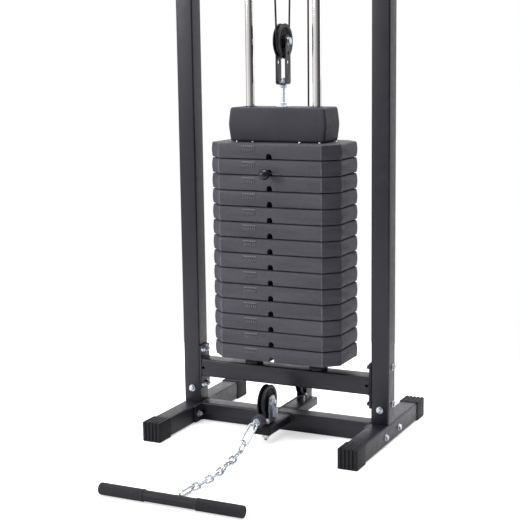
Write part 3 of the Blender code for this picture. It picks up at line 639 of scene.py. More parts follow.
def thread_bm(radius, pitch, low, high, sharpness=0.5):
    """A screw thread between two heights; its crest runs round as a true helix."""
    around, per_turn = 24, 6
    rows = max(2, round((high - low) / pitch * per_turn))
    depth = pitch * sharpness
    bm = bmesh.new()
    rings = []
    for j in range(rows + 1):
        z = low + (high - low) * j / rows
        taper = max(0.0, min(1.0, (high - z) / pitch, (z - low) / pitch + 0.3))
        ring = []
        for i, angle in enumerate(turns(around)):
            tooth = 1 - abs(2 * (((z - low) / pitch - i / around) % 1.0) - 1)
            ring.append(bm.verts.new(polar(radius - depth * (1 - tooth * taper), angle, z)))
        rings.append(ring)
    return skinned(bm, rings)


def fastener(name, place, direction, parts, size, washer, body, material=ZINC):
    """Parts that face direction, on a washer of that radius."""
    if washer:
        parts = [(bm, matrix @ shift(z=WASHER_THICK)) for bm, matrix in parts]
        parts.append((washer_bm(washer, WASHER_THICK, size / 2), HERE))
    piece(name, merged(*parts), at(place, direction), material, body)


def bolt(name, place, direction, size=0.008, washer=BOLT_WASHER, body="frame"):
    """A hexagon bolt head on its washer, with its face towards direction."""
    parts = [(hex_bm(FLATS[size], size * 0.66), HERE)]
    fastener(name, place, direction, parts, size, washer, body)


def nut(name, place, direction, size=0.008, washer=BOLT_WASHER, tail=0.004, body="frame",
        material=ZINC):
    """A nut on its washer, with the bolt's threaded end standing out of it."""
    height = size * 0.82
    parts = [(hex_bm(FLATS[size], height, size / 2 + 0.0001), HERE),
             (thread_bm(size / 2, size * 0.15, 0, height + tail), HERE)]
    fastener(name, place, direction, parts, size, washer, body, material)


def dome_screw(name, place, direction, body, radius):
    """A pan head with a hexagon socket."""
    height = radius * 0.75
    profile = [(0, height * 0.35), (radius * 0.42, height * 0.35), (radius * 0.48, height)]
    profile += [(radius * math.cos(math.radians(a)), height * math.sin(math.radians(a)))
                for a in (60, 45, 30, 15, 0)]
    profile.append((0, 0))
    piece(name, lathe(profile, 24), at(place, direction), ZINC, body)


# -------- frame

UPRIGHT_BOLT_Z, STACK_BAR_LOW = 0.091, 0.128
LOW_BRACKET_NUT = (0.004, -0.1425)                  # x, and y from the uprights' plane
FLOOR_BAR_BOLTS, STACK_BAR_BOLTS, HEAD_BAR_BOLTS = (     # (y from the uprights' plane, z)
    [(-0.0445, 0.0255), (0.056, 0.0255)], [(0.006, 0.203), (0.006, 0.103)], [(0.0, 1.9725)])
BRACKET_WIDTH, BRACKET_PAST = 0.04, 0.019          # and how far its legs run past the axle
BRACKET_WELD = 0.019                                # half length of the bead along a leg's foot


def tube(name, low, high, axis):
    """An open square or flat tube that fills a box, along axis."""
    low, high = Vector(low), Vector(high)
    size = high - low
    u, v, w = {"X": (size.y, size.z, size.x), "Y": (size.x, size.z, size.y), "Z": size}[axis]
    outlines = [rounded_rectangle(u - 2 * inset, v - 2 * inset, TUBE_CORNER - inset)
                for inset in (0, WALL)]
    return new_object(name, plate_bm(outlines, w, 0.0003), on_axis((low + high) / 2, axis))


def weld(name, centre, axis, width, height, bead=WELD):
    """A rippled bead round a tube where it meets a plate."""
    outline = rounded_rectangle(width, height, TUBE_CORNER, 4)
    points = []
    for (u0, v0), (u1, v1) in zip(outline, outline[1:] + outline[:1]):
        steps = max(1, round(math.hypot(u1 - u0, v1 - v0) / 0.0022))
        points += [(u0 + (u1 - u0) * i / steps, v0 + (v1 - v0) * i / steps, 0)
                   for i in range(steps)]
    bm = sweep(points, bead, 8, cyclic=True, ripple=WELD_RIPPLE)
    piece(name, bm, on_axis(centre, axis))


def end_plug(name, centre, direction, width, height):
    """Black plastic plug in a tube's open end: a low crowned head with a rounded rim."""
    rim = 0.003
    bm = bmesh.new()
    rings = []
    for inset, z in ((0.0, 0.0), (0.0, rim * 0.45), (0.0008, rim * 0.8), (0.0024, rim),
                     (0.008, rim * 1.12)):
        outline = rounded_rectangle(width - 2 * inset, height - 2 * inset,
                                    max(TUBE_CORNER - inset, 0.001))
        rings.append([bm.verts.new((u, v, z)) for u, v in outline])
    piece(name, skinned(bm, rings), at(centre, direction), CAP)


def build_feet():
    """Two foot tubes, each with a cap at both ends."""
    for side, _ in SIDES:
        node = f"foot_{side}"
        show(tube(f"foot_tube_{side}", *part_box(node), "Y"), [node])
        for end, inward in (("front", 1), ("rear", -1)):
            build_foot_cap(f"foot_cap_{side}_{end}", inward)


def build_foot_cap(node, inward):
    """Ribbed end cap: four grooves run up its end face and back along its top."""
    groove, grooves, pitch, bend, wall, lip = 0.0029, 4, 0.0105, 0.004, 0.002, 0.0012
    low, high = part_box(node)
    middle = (low + high) / 2
    end, seam = (low.y, high.y) if inward > 0 else (high.y, low.y)
    cap = new_object(node + "_ribbed", block_bm(low, high, 0.0032, 4))
    pocket = sorted((end + inward * 0.0045, seam + inward * 0.01))
    inner = block_bm((low.x + wall, pocket[0], low.z + wall * 0.8),
                     (high.x - wall, pocket[1], high.z - wall), TUBE_CORNER * 0.6, 2)
    tools = [new_object("pocket", inner)]
    rise = Z * groove * 0.35
    for k in range(grooves):
        x = middle.x + (k - (grooves - 1) / 2) * pitch
        path = [(x, end, low.z - 0.01), (x, end, high.z - bend - 0.001)]
        path += [(x, end + inward * (bend - bend * math.cos(a)), high.z - bend + bend * math.sin(a))
                 for a in (0, math.pi / 6, math.pi / 3, math.pi / 2)]
        path.append((x, seam + inward * 0.004, high.z))
        tools.append(new_object("groove", sweep([Vector(p) + rise for p in path], groove, 10)))
    show(cut(cap, *tools), [node], CAP)
    ring = rounded_rectangle(high.x - low.x - 2 * lip, high.z - low.z - 2 * lip, 0.003)
    hole = rounded_rectangle(TUBE + 0.0006, TUBE + 0.0006, TUBE_CORNER)
    centre = (middle.x, seam - inward * 0.0004, middle.z)
    piece(node + "_lip", plate_bm([ring, hole], 0.0024, 0.0005), on_axis(centre, "Y"), CAP)


def build_uprights():
    """Two columns, each plugged on top and with a bolt through it low down."""
    for side, sign in SIDES:
        node = f"upright_{side}"
        low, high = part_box(node)
        x = sign * COLUMN_X
        show(tube(f"column_{side}", low, high, "Z"), [node])
        end_plug(f"column_plug_{side}", (x, PLANE_Y, high.z), Z, TUBE, TUBE)
        bolt(f"column_bolt_{side}", (x, low.y, UPRIGHT_BOLT_Z), -Y, washer=COLUMN_WASHER)
        nut(f"column_nut_{side}", (x, high.y, UPRIGHT_BOLT_Z), Y, washer=COLUMN_WASHER)


def crossbar(node, name, tube_low, plate_low, plate_high, bolts):
    """A tube with an end plate at each end, welded round, and its bolts through the uprights.

    bolts lists (y, z) places; each gets a head outside the column and a nut on the plate.
    """
    low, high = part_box(node)
    bar = tube(name + "_tube", (low.x + FLANGE / 2, PLANE_Y - TUBE / 2, tube_low),
               (high.x - FLANGE / 2, PLANE_Y + TUBE / 2, tube_low + TUBE), "X")
    middle, plate_middle = tube_low + TUBE / 2, (plate_low + plate_high) / 2
    drains = [new_object("drill", rod_bm(0.0043, -0.01, 0.01),
                         at((sign * (high.x - FLANGE - 0.0065), PLANE_Y - TUBE / 2, middle), Y))
              for _, sign in SIDES]
    show(cut(bar, *drains), [node])
    depth = high.y - low.y if node != "lower_cross_tube" else FLOOR_PLATE_DEPTH
    for side, sign in SIDES:
        plate = plate_bm([rounded_rectangle(depth, plate_high - plate_low, 0.004)], FLANGE, 0.0006)
        place = on_axis((sign * (high.x - FLANGE / 2), PLANE_Y, plate_middle), "X")
        piece(f"{name}_plate_{side}", plate, place)
        inner, outer = sign * (high.x - FLANGE), sign * (COLUMN_X + TUBE / 2)
        bead = min(WELD, tube_low * 0.8)        # stays off the floor
        weld(f"{name}_weld_{side}", (inner, PLANE_Y, middle), "X", TUBE, TUBE, bead)
        for i, (y, z) in enumerate(bolts):
            bolt(f"{name}_bolt_{side}_{i}", (outer, PLANE_Y + y, z), sign * X)
            nut(f"{name}_nut_{side}_{i}", (inner, PLANE_Y + y, z), -sign * X)
            if node == "upper_crossbar":
                # Right-hand side nuts face away into shade: their black paint is painted shade on zinc
                # nuts
                tail, finish = (0.002, ZINC) if sign < 0 else (0.0, PAINT)
                nut(f"{name}_side_nut_{side}_{i}", (inner, PLANE_Y - 0.0185, z), -sign * X,
                    0.006, 0.0062, tail, material=finish)


def pulley_leg(width, base_z, axle_z, past, holes):
    """Outline of a bracket's side plate in (y, z) about the axle's y, its far end rounded.

    holes lists (z, width, height) of the slots through it.
    """
    toward = 1 if axle_z > base_z else -1
    shoulder = axle_z + toward * (past - width / 2)
    top = [(u, shoulder + toward * v) for u, v in arc((0, 0), width / 2, 0, 180, 24)]
    cuts = [[(u, z + v) for u, v in rounded_rectangle(wide, tall, min(wide, tall) / 2 - 0.0001)]
            for z, wide, tall in holes]
    return [[(-width / 2, base_z), (width / 2, base_z)] + top] + cuts


def bracket_legs(name, centre, base_z, width, past, material, body, replaces=(), holes=(),
                 thick=LEG_THICK):
    """Both side plates of a pulley bracket, with the axle bolt's head and nut outside them."""
    outlines = pulley_leg(width, base_z, centre.z, past, holes)
    legs = [(plate_bm(outlines, thick, 0.0006),
             on_axis((sign * (LEG_OUTSIDE - thick / 2), centre.y, 0), "X")) for _, sign in SIDES]
    piece(name + "_legs", merged(*legs), HERE, material, body, replaces)
    place = Vector((0, centre.y, centre.z))
    bolt(name + "_axle_head", place + X * LEG_OUTSIDE, X, 0.01, AXLE_WASHER, body)
    nut(name + "_axle_nut", place - X * LEG_OUTSIDE, -X, 0.01, AXLE_WASHER, 0.003, body)
    piece(name + "_axle", rod_bm(0.0049, -LEG_OUTSIDE, LEG_OUTSIDE), at(place, X), ZINC, body)


def welded_bracket(name, axle, base_z):
    """A painted pulley bracket, with a weld bead along the foot of each leg."""
    bracket_legs(name, axle, base_z, BRACKET_WIDTH, BRACKET_PAST, PAINT, "frame")
    for side, sign in SIDES:
        points = [(sign * LEG_OUTSIDE, axle.y - BRACKET_WELD + 0.002 * i, base_z) for i in range(20)]
        piece(f"{name}_weld_{side}", sweep(points, WELD * 0.8, 8, ripple=WELD_RIPPLE))


def build_cross_tubes():
    """The three crossbars, and the low beam with its rear pulley bracket."""
    low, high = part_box("lower_cross_tube")
    crossbar("lower_cross_tube", "floor_bar", low.z, low.z + 0.001, low.z + TUBE - 0.001,
             FLOOR_BAR_BOLTS)
    top = low.z + TUBE - 0.0002
    beam_low, beam_middle = top - BEAM_HEIGHT, top - BEAM_HEIGHT / 2
    for name, open_end, out in (("low_beam_front", low.y, -1), ("low_beam_rear", high.y, 1)):
        joint = PLANE_Y + out * TUBE / 2
        start, end = sorted((open_end, joint))
        show(tube(name, (-TUBE / 2, start, beam_low), (TUBE / 2, end, top), "Y"))
        end_plug(name + "_plug", (0, open_end, beam_middle), out * Y, TUBE, BEAM_HEIGHT)
        weld(name + "_weld", (0, joint, beam_middle), "Y", TUBE, BEAM_HEIGHT, 0.003)
    x, y = LOW_BRACKET_NUT
    nut("low_bracket_nut", (x, PLANE_Y + y, beam_low), -Z, 0.01, AXLE_WASHER, 0.0075)
    axle = box_centre("low_rear_pulley")
    welded_bracket("low_rear_bracket", axle, top)
    bolt("low_rear_bracket_screw", (LEG_INSIDE + LEG_THICK / 2, axle.y - 0.0185, 0.072), -Y, 0.005, 0)
    low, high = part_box("upper_crossbar")
    crossbar("upper_crossbar", "stack_bar", STACK_BAR_LOW, low.z, high.z, STACK_BAR_BOLTS)
    low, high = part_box("top_crossbar")
    crossbar("top_crossbar", "head_bar", high.z + 0.001 - TUBE, low.z, high.z, HEAD_BAR_BOLTS)


def build_top_beam():
    """The beam over the crossbar, with its three pulley brackets under it."""
    low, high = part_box("top_beam")
    beam_low = high.z - TUBE
    show(tube("overhead_beam", (low.x, low.y, beam_low), high, "Y"), ["top_beam"])
    for name, y, out in (("front", low.y, -1), ("rear", high.y, 1)):
        end_plug(f"overhead_beam_plug_{name}", (0, y, beam_low + TUBE / 2), out * Y, TUBE, TUBE)
    for which in ("front", "middle", "rear"):
        welded_bracket(f"top_{which}_bracket", box_centre(f"top_{which}_pulley"), beam_low)
    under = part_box("top_crossbar")[1].z + 0.001 - TUBE
    for side, sign in SIDES:
        bolt(f"overhead_beam_bolt_{side}", (sign * 0.014, PLANE_Y, under), -Z, 0.01, AXLE_WASHER)


def build_guides():
    """Chromed guide rods, and the waisted rubber bumpers round their feet."""
    for side, _ in SIDES:
        node, bumper = f"guide_rod_{side}", f"bumper_{side}"
        low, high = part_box(node)
        middle = (low + high) / 2
        radius, length = (high.x - low.x) / 2, high.z - low.z
        rod = rod_bm(radius, -length / 2, length / 2, 96, 0.0012)
        piece(f"chromed_rod_{side}", rod, at(middle), CHROME, "frame", [node])
        low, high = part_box(bumper)
        height, out, inner = high.z - low.z, (high.x - low.x) / 2, radius + 0.0006
        waist = out - 0.0022
        profile = [(inner, height), (out - 0.003, height), (out, height - 0.003),
                   (out, height * 0.72), (waist, height * 0.62), (waist, height * 0.38),
                   (out, height * 0.28), (out, 0.0015), (out - 0.0015, 0), (inner, 0)]
        piece(f"stack_bumper_{side}", lathe(profile, closed=True), at((middle.x, middle.y, low.z)),
              RUBBER, "frame", [bumper], 50)


# -------- weight stack

def plate_outline():
    """Points round the octagon as (point, bulge, edge, highlight): how far the side draws in from its
    middle height to the plate's faces, the radius of the edge there, and how much painted highlight it
    gets."""
    low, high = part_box("weight_plate_05")
    x, y = (high.x - low.x) / 2, (high.y - low.y) / 2 - MARK_RISE
    corner, fillet = PLATE_CORNER, 0.003
    vertices = [(x, y - corner), (x - corner, y), (corner - x, y), (-x, y - corner),
                (-x, corner - y), (corner - x, -y), (x - corner, -y), (x, corner - y)]
    long_side, chamfer, end = (0.0017, 0.004), (0.0018, 0.0038), (0.0042, 0.0042)
    shapes = [chamfer, long_side, chamfer, end] * 2
    points = []
    for i in range(8):
        before, here, after = (Vector(vertices[k % 8]) for k in (i - 1, i, i + 1))
        start = here + (before - here).normalized() * fillet
        finish = here + (after - here).normalized() * fillet
        for k in range(7):
            t = k / 6
            p = start.lerp(here, t).lerp(here.lerp(finish, t), t)
            bulge, edge = (a + (b - a) * t for a, b in zip(shapes[i - 1], shapes[i]))
            points.append((p, bulge, edge, 1.0 if 1 < k < 5 else 0.0))
    return points


def plate_levels():
    """Heights on a plate's side from -1 to 1 of (share of the straight part, share of the edge)."""
    edge = [(1.0, math.sin(math.pi / 2 * k / 6)) for k in range(6, 0, -1)]
    straight_part = [(k / 5, 0.0) for k in range(5, -6, -1)]
    return edge + straight_part + [(-1.0, -v) for _, v in reversed(edge)]


def plate_body():
    """One plate about its own centre: bulging sides, rod holes, stem hole and pin slot."""
    low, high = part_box("weight_plate_05")
    half = (high.z - low.z) / 2 - PLATE_CLEARANCE
    outline = plate_outline()
    normals = []
    for i in range(len(outline)):
        run = outline[(i + 1) % len(outline)][0] - outline[i - 1][0]
        normals.append(Vector((run.y, -run.x)).normalized())
    if normals[0].dot(outline[0][0]) < 0:
        normals = [-n for n in normals]
    bm = bmesh.new()
    # per-vertex mask for the painted highlight down the plate's rounded corners
    corner_highlight_layer = bm.verts.layers.float.new("corner_highlight")
    rings = []
    for share, turn in plate_levels():
        ring = []
        for (p, bulge, edge, corner_highlight), normal in zip(outline, normals):
            z = share * (half - edge) + turn * edge
            q = p - normal * (bulge * (z / half) ** 2 + edge * (1 - math.sqrt(1 - turn * turn)))
            vert = bm.verts.new((q.x, q.y, z))
            vert[corner_highlight_layer] = corner_highlight
            ring.append(vert)
        rings.append(ring)
    plate = new_object("plate", skinned(bm, rings))
    tools = [new_object("hole", rod_bm(radius, -1, 1, steps), shift(x)) for x, radius, steps in
             ((-ROD_X, ROD_HOLE, 48), (ROD_X, ROD_HOLE, 48), (0, STEM_HOLE, 40))]
    radius = SLOT_WIDTH / 2
    slot = [(-radius, -radius), (radius, -radius)]
    slot += arc((0, SLOT_HEIGHT - radius), radius, 0, 180, 20)
    depth = (high.y - low.y) / 2 + 0.02
    tools.append(new_object("slot", plate_bm([slot], depth, 0.0001),
                            on_axis((0, -depth / 2, -half), "Y")))
    return cut(plate, *tools)


def marking_strip():
    """A row of plain raised teeth over a row of slanted bars; it carries no lettering."""
    teeth, bars = 9, 6
    low, high = MARK_PANEL
    reach = (high - low) / 2 - 0.0012
    pieces = []
    for k in range(teeth):
        tooth = block_bm((-0.0017, -MARK_RISE, -0.0092), (0.0017, MARK_RISE, -0.0056), 0.0004, 2)
        pieces.append((tooth, shift(MARK_WIDTH * ((k + 0.5) / teeth - 0.5))))
    for k in range(bars):
        bar = block_bm((-0.0008, -MARK_RISE * 0.9, -reach), (0.0008, MARK_RISE, reach), 0.0003, 1)
        slant = Matrix.Rotation(0.35, 4, "Y")
        place = shift(MARK_WIDTH * ((k + 0.5) / bars - 0.5), 0, (low + high) / 2)
        pieces.append((bar, place @ slant))
    return merged(*pieces)


def marking_panel():
    """The dark panel behind the slanted bars."""
    low, high = MARK_PANEL
    return block_bm((-MARK_WIDTH / 2, -MARK_RISE * 0.4, low), (MARK_WIDTH / 2, MARK_RISE, high),
                    0.0003, 2)


def build_plates():
    """Fourteen copies of one plate, each with its marking; the top ones ride with the stem."""
    pattern = plate_body()
    for number in range(1, PLATE_COUNT + 1):
        node = f"weight_plate_{number:02d}"
        low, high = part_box(node)
        body = "carriage" if number <= PIN_PLATE else "frame"
        mesh = pattern.data.copy()
        mesh.transform(Matrix.Translation((low + high) / 2))
        plate = bpy.data.objects.new(f"stack_plate_{number:02d}", mesh)
        bpy.context.scene.collection.objects.link(plate)
        show(plate, [node], PLATE, body, 32)
        place = shift(MARK_X, low.y + MARK_RISE, high.z)
        piece(f"plate_marking_{number:02d}", marking_strip(), place, LABEL, body)
        piece(f"plate_panel_{number:02d}", marking_panel(), place, PANEL, body)
    bpy.data.objects.remove(pattern, do_unlink=True)


COVER_SCREWS = (                # (x, y from the uprights' plane) under the cover's rim
    (-0.113, -0.0515), (-0.066, -0.0515), (0.068, -0.0515), (0.124, -0.0515),
    (0.1455, 0.01), (-0.1455, 0.01), (-0.113, 0.0535), (0.113, 0.0535))


def crowded(co):
    """A cube's grid point moved towards its edges, where the rounding needs points."""
    return Vector(math.copysign(abs(c) ** 0.6, c) for c in co)


def build_top_block():
    """The cover over the stack: its ends come to a shallow crease, its front and back swell."""
    low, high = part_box("top_block")
    size, middle = (high - low) / 2, (low + high) / 2
    crease, swell, radius = 0.0055, 0.0025, 0.0065
    flat = Vector((size.x - crease, size.y - swell, size.z))
    bm = bmesh.new()
    bmesh.ops.create_cube(bm, size=2)
    bmesh.ops.subdivide_edges(bm, edges=bm.edges, cuts=39, use_grid_fill=True)
    for vert in bm.verts:
        p = Vector(c * s for c, s in zip(crowded(vert.co), flat))
        core = Vector(max(-s + radius, min(s - radius, c)) for c, s in zip(p, flat))
        p = core + (p - core).normalized() * radius if (p - core).length > 1e-9 else p
        height = p.z / flat.z
        p.x += crease * (1 - math.sqrt(height * height + 0.01)) * p.x / flat.x
        p.y += swell * (1 - height * height) * p.y / flat.y
        vert.co = p
    block = new_object("stack_cover", bm, Matrix.Translation(middle))
    tools = [new_object("hole", rod_bm(hole, -0.1, 0.1, 48), at((x, PLANE_Y, middle.z)))
             for x, hole in ((-ROD_X, ROD_HOLE), (ROD_X, ROD_HOLE), (0, 0.0106))]
    show(cut(block, *tools), ["top_block"], BLOCK, "carriage", 60)
    for i, (x, y) in enumerate(COVER_SCREWS):
        dome_screw(f"cover_screw_{i}", (x, PLANE_Y + y, low.z - 0.0003), Z, "carriage", 0.0034)
    for side, sign in SIDES:
        bush = lathe([(ROD_HOLE - 0.0014, 0.0012), (ROD_HOLE + 0.003, 0.0012),
                      (ROD_HOLE + 0.0036, 0.0004), (ROD_HOLE + 0.0036, -0.002),
                      (ROD_HOLE - 0.0014, -0.01)], 48, closed=True)
        piece(f"cover_bush_{side}", bush, at((sign * ROD_X, PLANE_Y, high.z)), CAP, "carriage")


def build_stem():
    """Chromed selector stem with its pin holes, and the threaded rod, washer and nuts over it."""
    low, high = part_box("selector_stem")
    cover_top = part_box("top_block")[1].z
    strap_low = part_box("floating_bracket")[0].z
    axis = shift(0, PLANE_Y, 0)
    stem = new_object("pin_stem", rod_bm(0.01, low.z, cover_top, 64, 0.002), axis)
    tools = []
    for number in range(1, PLATE_COUNT + 1):
        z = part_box(f"weight_plate_{number:02d}")[0].z + PIN_RISE
        tools.append(new_object("hole", rod_bm(PIN_HOLE, -0.03, 0.03, 24), at((0, PLANE_Y, z), Y)))
    show(cut(stem, *tools), ["selector_stem"], CHROME, "carriage")
    shank_low, shank_high = cover_top + 0.0135, strap_low - 0.0125
    ends = [(thread_bm(0.005, 0.0015, start, end, 0.3), axis)
            for start, end in ((cover_top - 0.002, shank_low), (shank_high, high.z))]
    shank = rod_bm(0.0047, shank_low, shank_high, 40, 0.0006)
    piece("hanger_rod", merged((shank, axis), *ends), HERE, LIT_ZINC, "carriage")
    piece("hanger_washer", washer_bm(0.019, 0.0022, 0.0052), axis @ shift(z=cover_top + 0.0003),
          LIT_ZINC, "carriage")
    for name, z, height in (("hanger_nut_low", cover_top + 0.0025, 0.008),
                            ("hanger_nut_under", strap_low - 0.0085, 0.008),
                            ("hanger_nut_inside", strap_low + STRAP_THICK, 0.0055)):
        piece(name, hex_bm(FLATS[0.01], height, 0.0051), axis @ shift(z=z), LIT_ZINC, "carriage")


def build_pin():
    """Ball knob on a collar, with a bright pin."""
    low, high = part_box("selector_pin")
    ball, collar, pin = 0.0146, 0.0065, 0.00475
    place = Vector((0, low.y + ball, (low.z + high.z) / 2))
    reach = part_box("weight_plate_05")[0].y - place.y - 0.0015
    profile = [(0, ball)] + [polar(ball, math.radians(90 - a))[:2] for a in range(10, 150, 10)]
    profile += [(collar, -ball * 0.86), (collar + 0.0006, -ball - 0.002), (collar, -ball - 0.004),
                (collar, 0.0008 - reach), (collar - 0.0008, -reach), (0, -reach)]
    piece("pin_knob", lathe(profile), at(place, -Y), KNOB, "selector_pin", ["selector_pin"], 40)
    shaft = rod_bm(pin, place.y - high.y, 0, 40, 0.0015)
    piece("pin_shaft", shaft, at(place, -Y), CHROME, "selector_pin")


# -------- pulleys and cable

def mirrored(profile):
    """A profile closed by its own mirror image below z = 0."""
    return profile + [(r, -z) for r, z in reversed(profile)]


def build_pulley(node):
    """Nylon wheel with a rounded groove, a dished web with raised rings, and a steel bearing."""
    low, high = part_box(node)
    place = at((low + high) / 2, X)
    rim, half = (high.z - low.z) / 2, (high.x - low.x) / 2
    groove, web, hub, rim_half = 0.0362, 0.003, 0.0138, 0.0085
    profile = [(0.0068, half), (hub - 0.0008, half), (hub, half - 0.0008),
               (hub + 0.0006, web + 0.0008), (hub + 0.0016, web)]
    for ring, height in ((0.0182, 0.0036), (0.0226, 0.0036), (0.027, 0.004), (0.0314, 0.0046)):
        profile += [(ring - 0.0011, web), (ring - 0.0007, web + height),
                    (ring + 0.0007, web + height), (ring + 0.0011, web)]
    profile += [(0.0345, web), (0.0352, web + 0.001), (0.0358, rim_half - 0.0008),
                (0.0366, rim_half), (rim - 0.0012, rim_half), (rim - 0.0003, rim_half - 0.0008),
                (rim, 0.0062), (rim - 0.0008, 0.005), (groove + 0.0035, 0.0034),
                (groove + 0.001, 0.0022), (groove, 0.0008)]
    wheel = lathe(mirrored(profile), 96, closed=True)
    piece(node.replace("pulley", "wheel"), wheel, place, NYLON, node, [node], 30)
    races = []
    for sign in (-1, 1):
        outline = [(0.0054, half), (0.0066, half), (0.0068, half - 0.0008), (0.0068, half - 0.004),
                   (0.0054, half - 0.004)]
        races.append((lathe([(r, sign * z) for r, z in outline], 40, closed=True), HERE))
    piece(node.replace("pulley", "bearing"), merged(*races), place, ZINC, node)


def strap_bracket(node, pulley, material, body, holes=()):
    """Strap bent to a U: a rounded bend below, a leg each side, and the axle bolt."""
    low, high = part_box(node)
    centre = box_centre(pulley)
    width = high.y - low.y
    bracket_legs(node, centre, low.z + STRAP_BEND, width, high.z - centre.z, material, body, [node],
                 holes, STRAP_THICK)
    inner, reach = STRAP_BEND - STRAP_THICK, LEG_OUTSIDE - STRAP_BEND
    left, right = (-reach, STRAP_BEND), (reach, STRAP_BEND)
    outline = arc(left, STRAP_BEND, 180, 270, 8) + arc(right, STRAP_BEND, 270, 360, 8)
    outline += arc(right, inner, 360, 270, 8) + arc(left, inner, 270, 180, 8)
    piece(node + "_bend", plate_bm([outline], width, 0.0006), on_axis((0, centre.y, low.z), "Y"),
          material, body)


def build_strap_brackets():
    """The floating pulley's strap, and the zinc one on the low beam with its keeper flanges."""
    strap_bracket("floating_bracket", "floating_pulley", PAINT, "carriage",
                  [(0.996, 0.011, 0.0085), (1.0195, 0.0085, 0.009)])
    strap_bracket("low_front_bracket", "low_front_pulley", SHADED_ZINC, "frame")
    inner, outer = LEG_OUTSIDE - STRAP_THICK, LEG_OUTSIDE + 0.0065
    outline = [(inner, 0.061), (outer - 0.002, 0.061), (outer, 0.063), (outer, 0.088),
               (outer - 0.002, 0.092), (inner, 0.092)]
    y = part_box("low_front_bracket")[1].y - STRAP_THICK / 2
    for side, sign in SIDES:
        flange = plate_bm([[(sign * u, v) for u, v in outline]], STRAP_THICK, 0.0005)
        piece(f"low_front_keeper_{side}", flange, on_axis((0, y, 0), "Y"), ZINC)


def rim_point(centre, degrees):
    """A point of the cable's path on a pulley; 0 degrees is +Y, 90 is +Z."""
    y, z, _ = polar(CABLE_TURN, math.radians(degrees))
    return centre + Vector((0, y, z))


def around(centre, start, end):
    """Points of the cable's path on a pulley, about every 4 degrees."""
    steps = max(2, round(abs(end - start) / 4))
    return [rim_point(centre, start + (end - start) * i / steps) for i in range(steps + 1)]


def straight(start, end, spacing=0.012):
    """Evenly spaced points between two."""
    steps = max(8, round((end - start).length / spacing))
    return [start.lerp(end, i / steps) for i in range(steps + 1)]


def build_cable():
    """Curved stretches ride with their pulleys' frames; straight runs are baked in place, on no body.
    """
    front, middle, rear, floating, low_rear, low_front = (box_centre(name) for name in PULLEYS)
    offset, drop = abs(middle.y - floating.y), middle.z - floating.z
    lean = math.degrees(math.asin(2 * CABLE_TURN / math.hypot(offset, drop))
                        - math.atan2(offset, drop))
    back = math.degrees(math.atan2(rear.y - low_rear.y, rear.z - low_rear.z))
    wraps = {
        "cable_over_top": ("frame", around(front, 180, 90) + around(middle, 90, lean)),
        "cable_behind_stack": ("frame", around(rear, 180 - lean, -back) + around(low_rear, -back, -90)),
        "cable_under_floating_pulley": ("carriage", around(floating, 180 + lean, 360 - lean)),
    }
    for node, (body, points) in wraps.items():
        piece(node + "_coat", sweep(points, CABLE_RADIUS, flat=True), HERE, SHEATH, body, [node])
    stop_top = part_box("lat_cable_stop")[1]
    stop_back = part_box("low_cable_stop")[1]
    runs = {
        "cable_run_front": ("carriage", rim_point(middle, lean), rim_point(floating, 180 + lean)),
        "cable_run_rear": ("carriage", rim_point(rear, 180 - lean), rim_point(floating, -lean)),
        "cable_run_lat": ("lat_handle", rim_point(front, 180),
                          Vector((0, front.y - CABLE_TURN, stop_top.z - 0.002))),
        "cable_run_low": ("low_handle", rim_point(low_rear, -90),
                          Vector((0, stop_back.y - 0.002, low_front.z - CABLE_TURN))),
    }
    for node, (body, start, end) in runs.items():
        wire = sweep(straight(start, end), CABLE_RADIUS, flat=True)
        run = piece(node + "_coat", wire, HERE, SHEATH, None, [node])
        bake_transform(run)


# -------- handles

def build_cable_stop(node, face, direction, eye, eye_normal, body):
    """Rubber stop with a waist, a swaged ferrule out of its end and the zinc eye."""
    radius, length = 0.016, 0.025
    profile = softened([(0, 0), (0.0042, 0), (0.0046, 0.0004), (radius, 0.0004), (radius, -0.0095),
                        (radius - 0.0009, -0.0105), (radius - 0.0009, -0.0145), (radius, -0.0155),
                        (radius, -length), (0.006, -length), (0.006, -length + 0.002),
                        (0, -length + 0.002)], 0.0014)
    turn = at(face, -Vector(direction))
    piece(node + "_rubber", lathe(profile), turn, STOP, body, [node])
    ferrule = softened([(0, -0.02), (0.0042, -0.02), (0.0042, -length - 0.0012),
                        (0.003, -length - 0.0022), (0, -length - 0.0022)], 0.0006)
    piece(node + "_ferrule", lathe(ferrule, 32), turn, ZINC, body)
    piece(node + "_washer", washer_bm(0.0095, 0.0015, 0.0043), turn @ shift(z=-length - 0.0011),
          ZINC, body)
    circle = [(u, v, 0) for u, v in arc((0, 0), RING_RADIUS, 0, 360, 48)[:-1]]
    piece(node + "_ring", sweep(circle, RING_WIRE, cyclic=True), at(eye, eye_normal), ZINC, body)


def frame_of(along, across, place):
    """Matrix with local +X along, local +Y across and its origin at place."""
    matrix = Matrix((along, across, along.cross(across))).transposed().to_4x4()
    matrix.translation = place
    return matrix


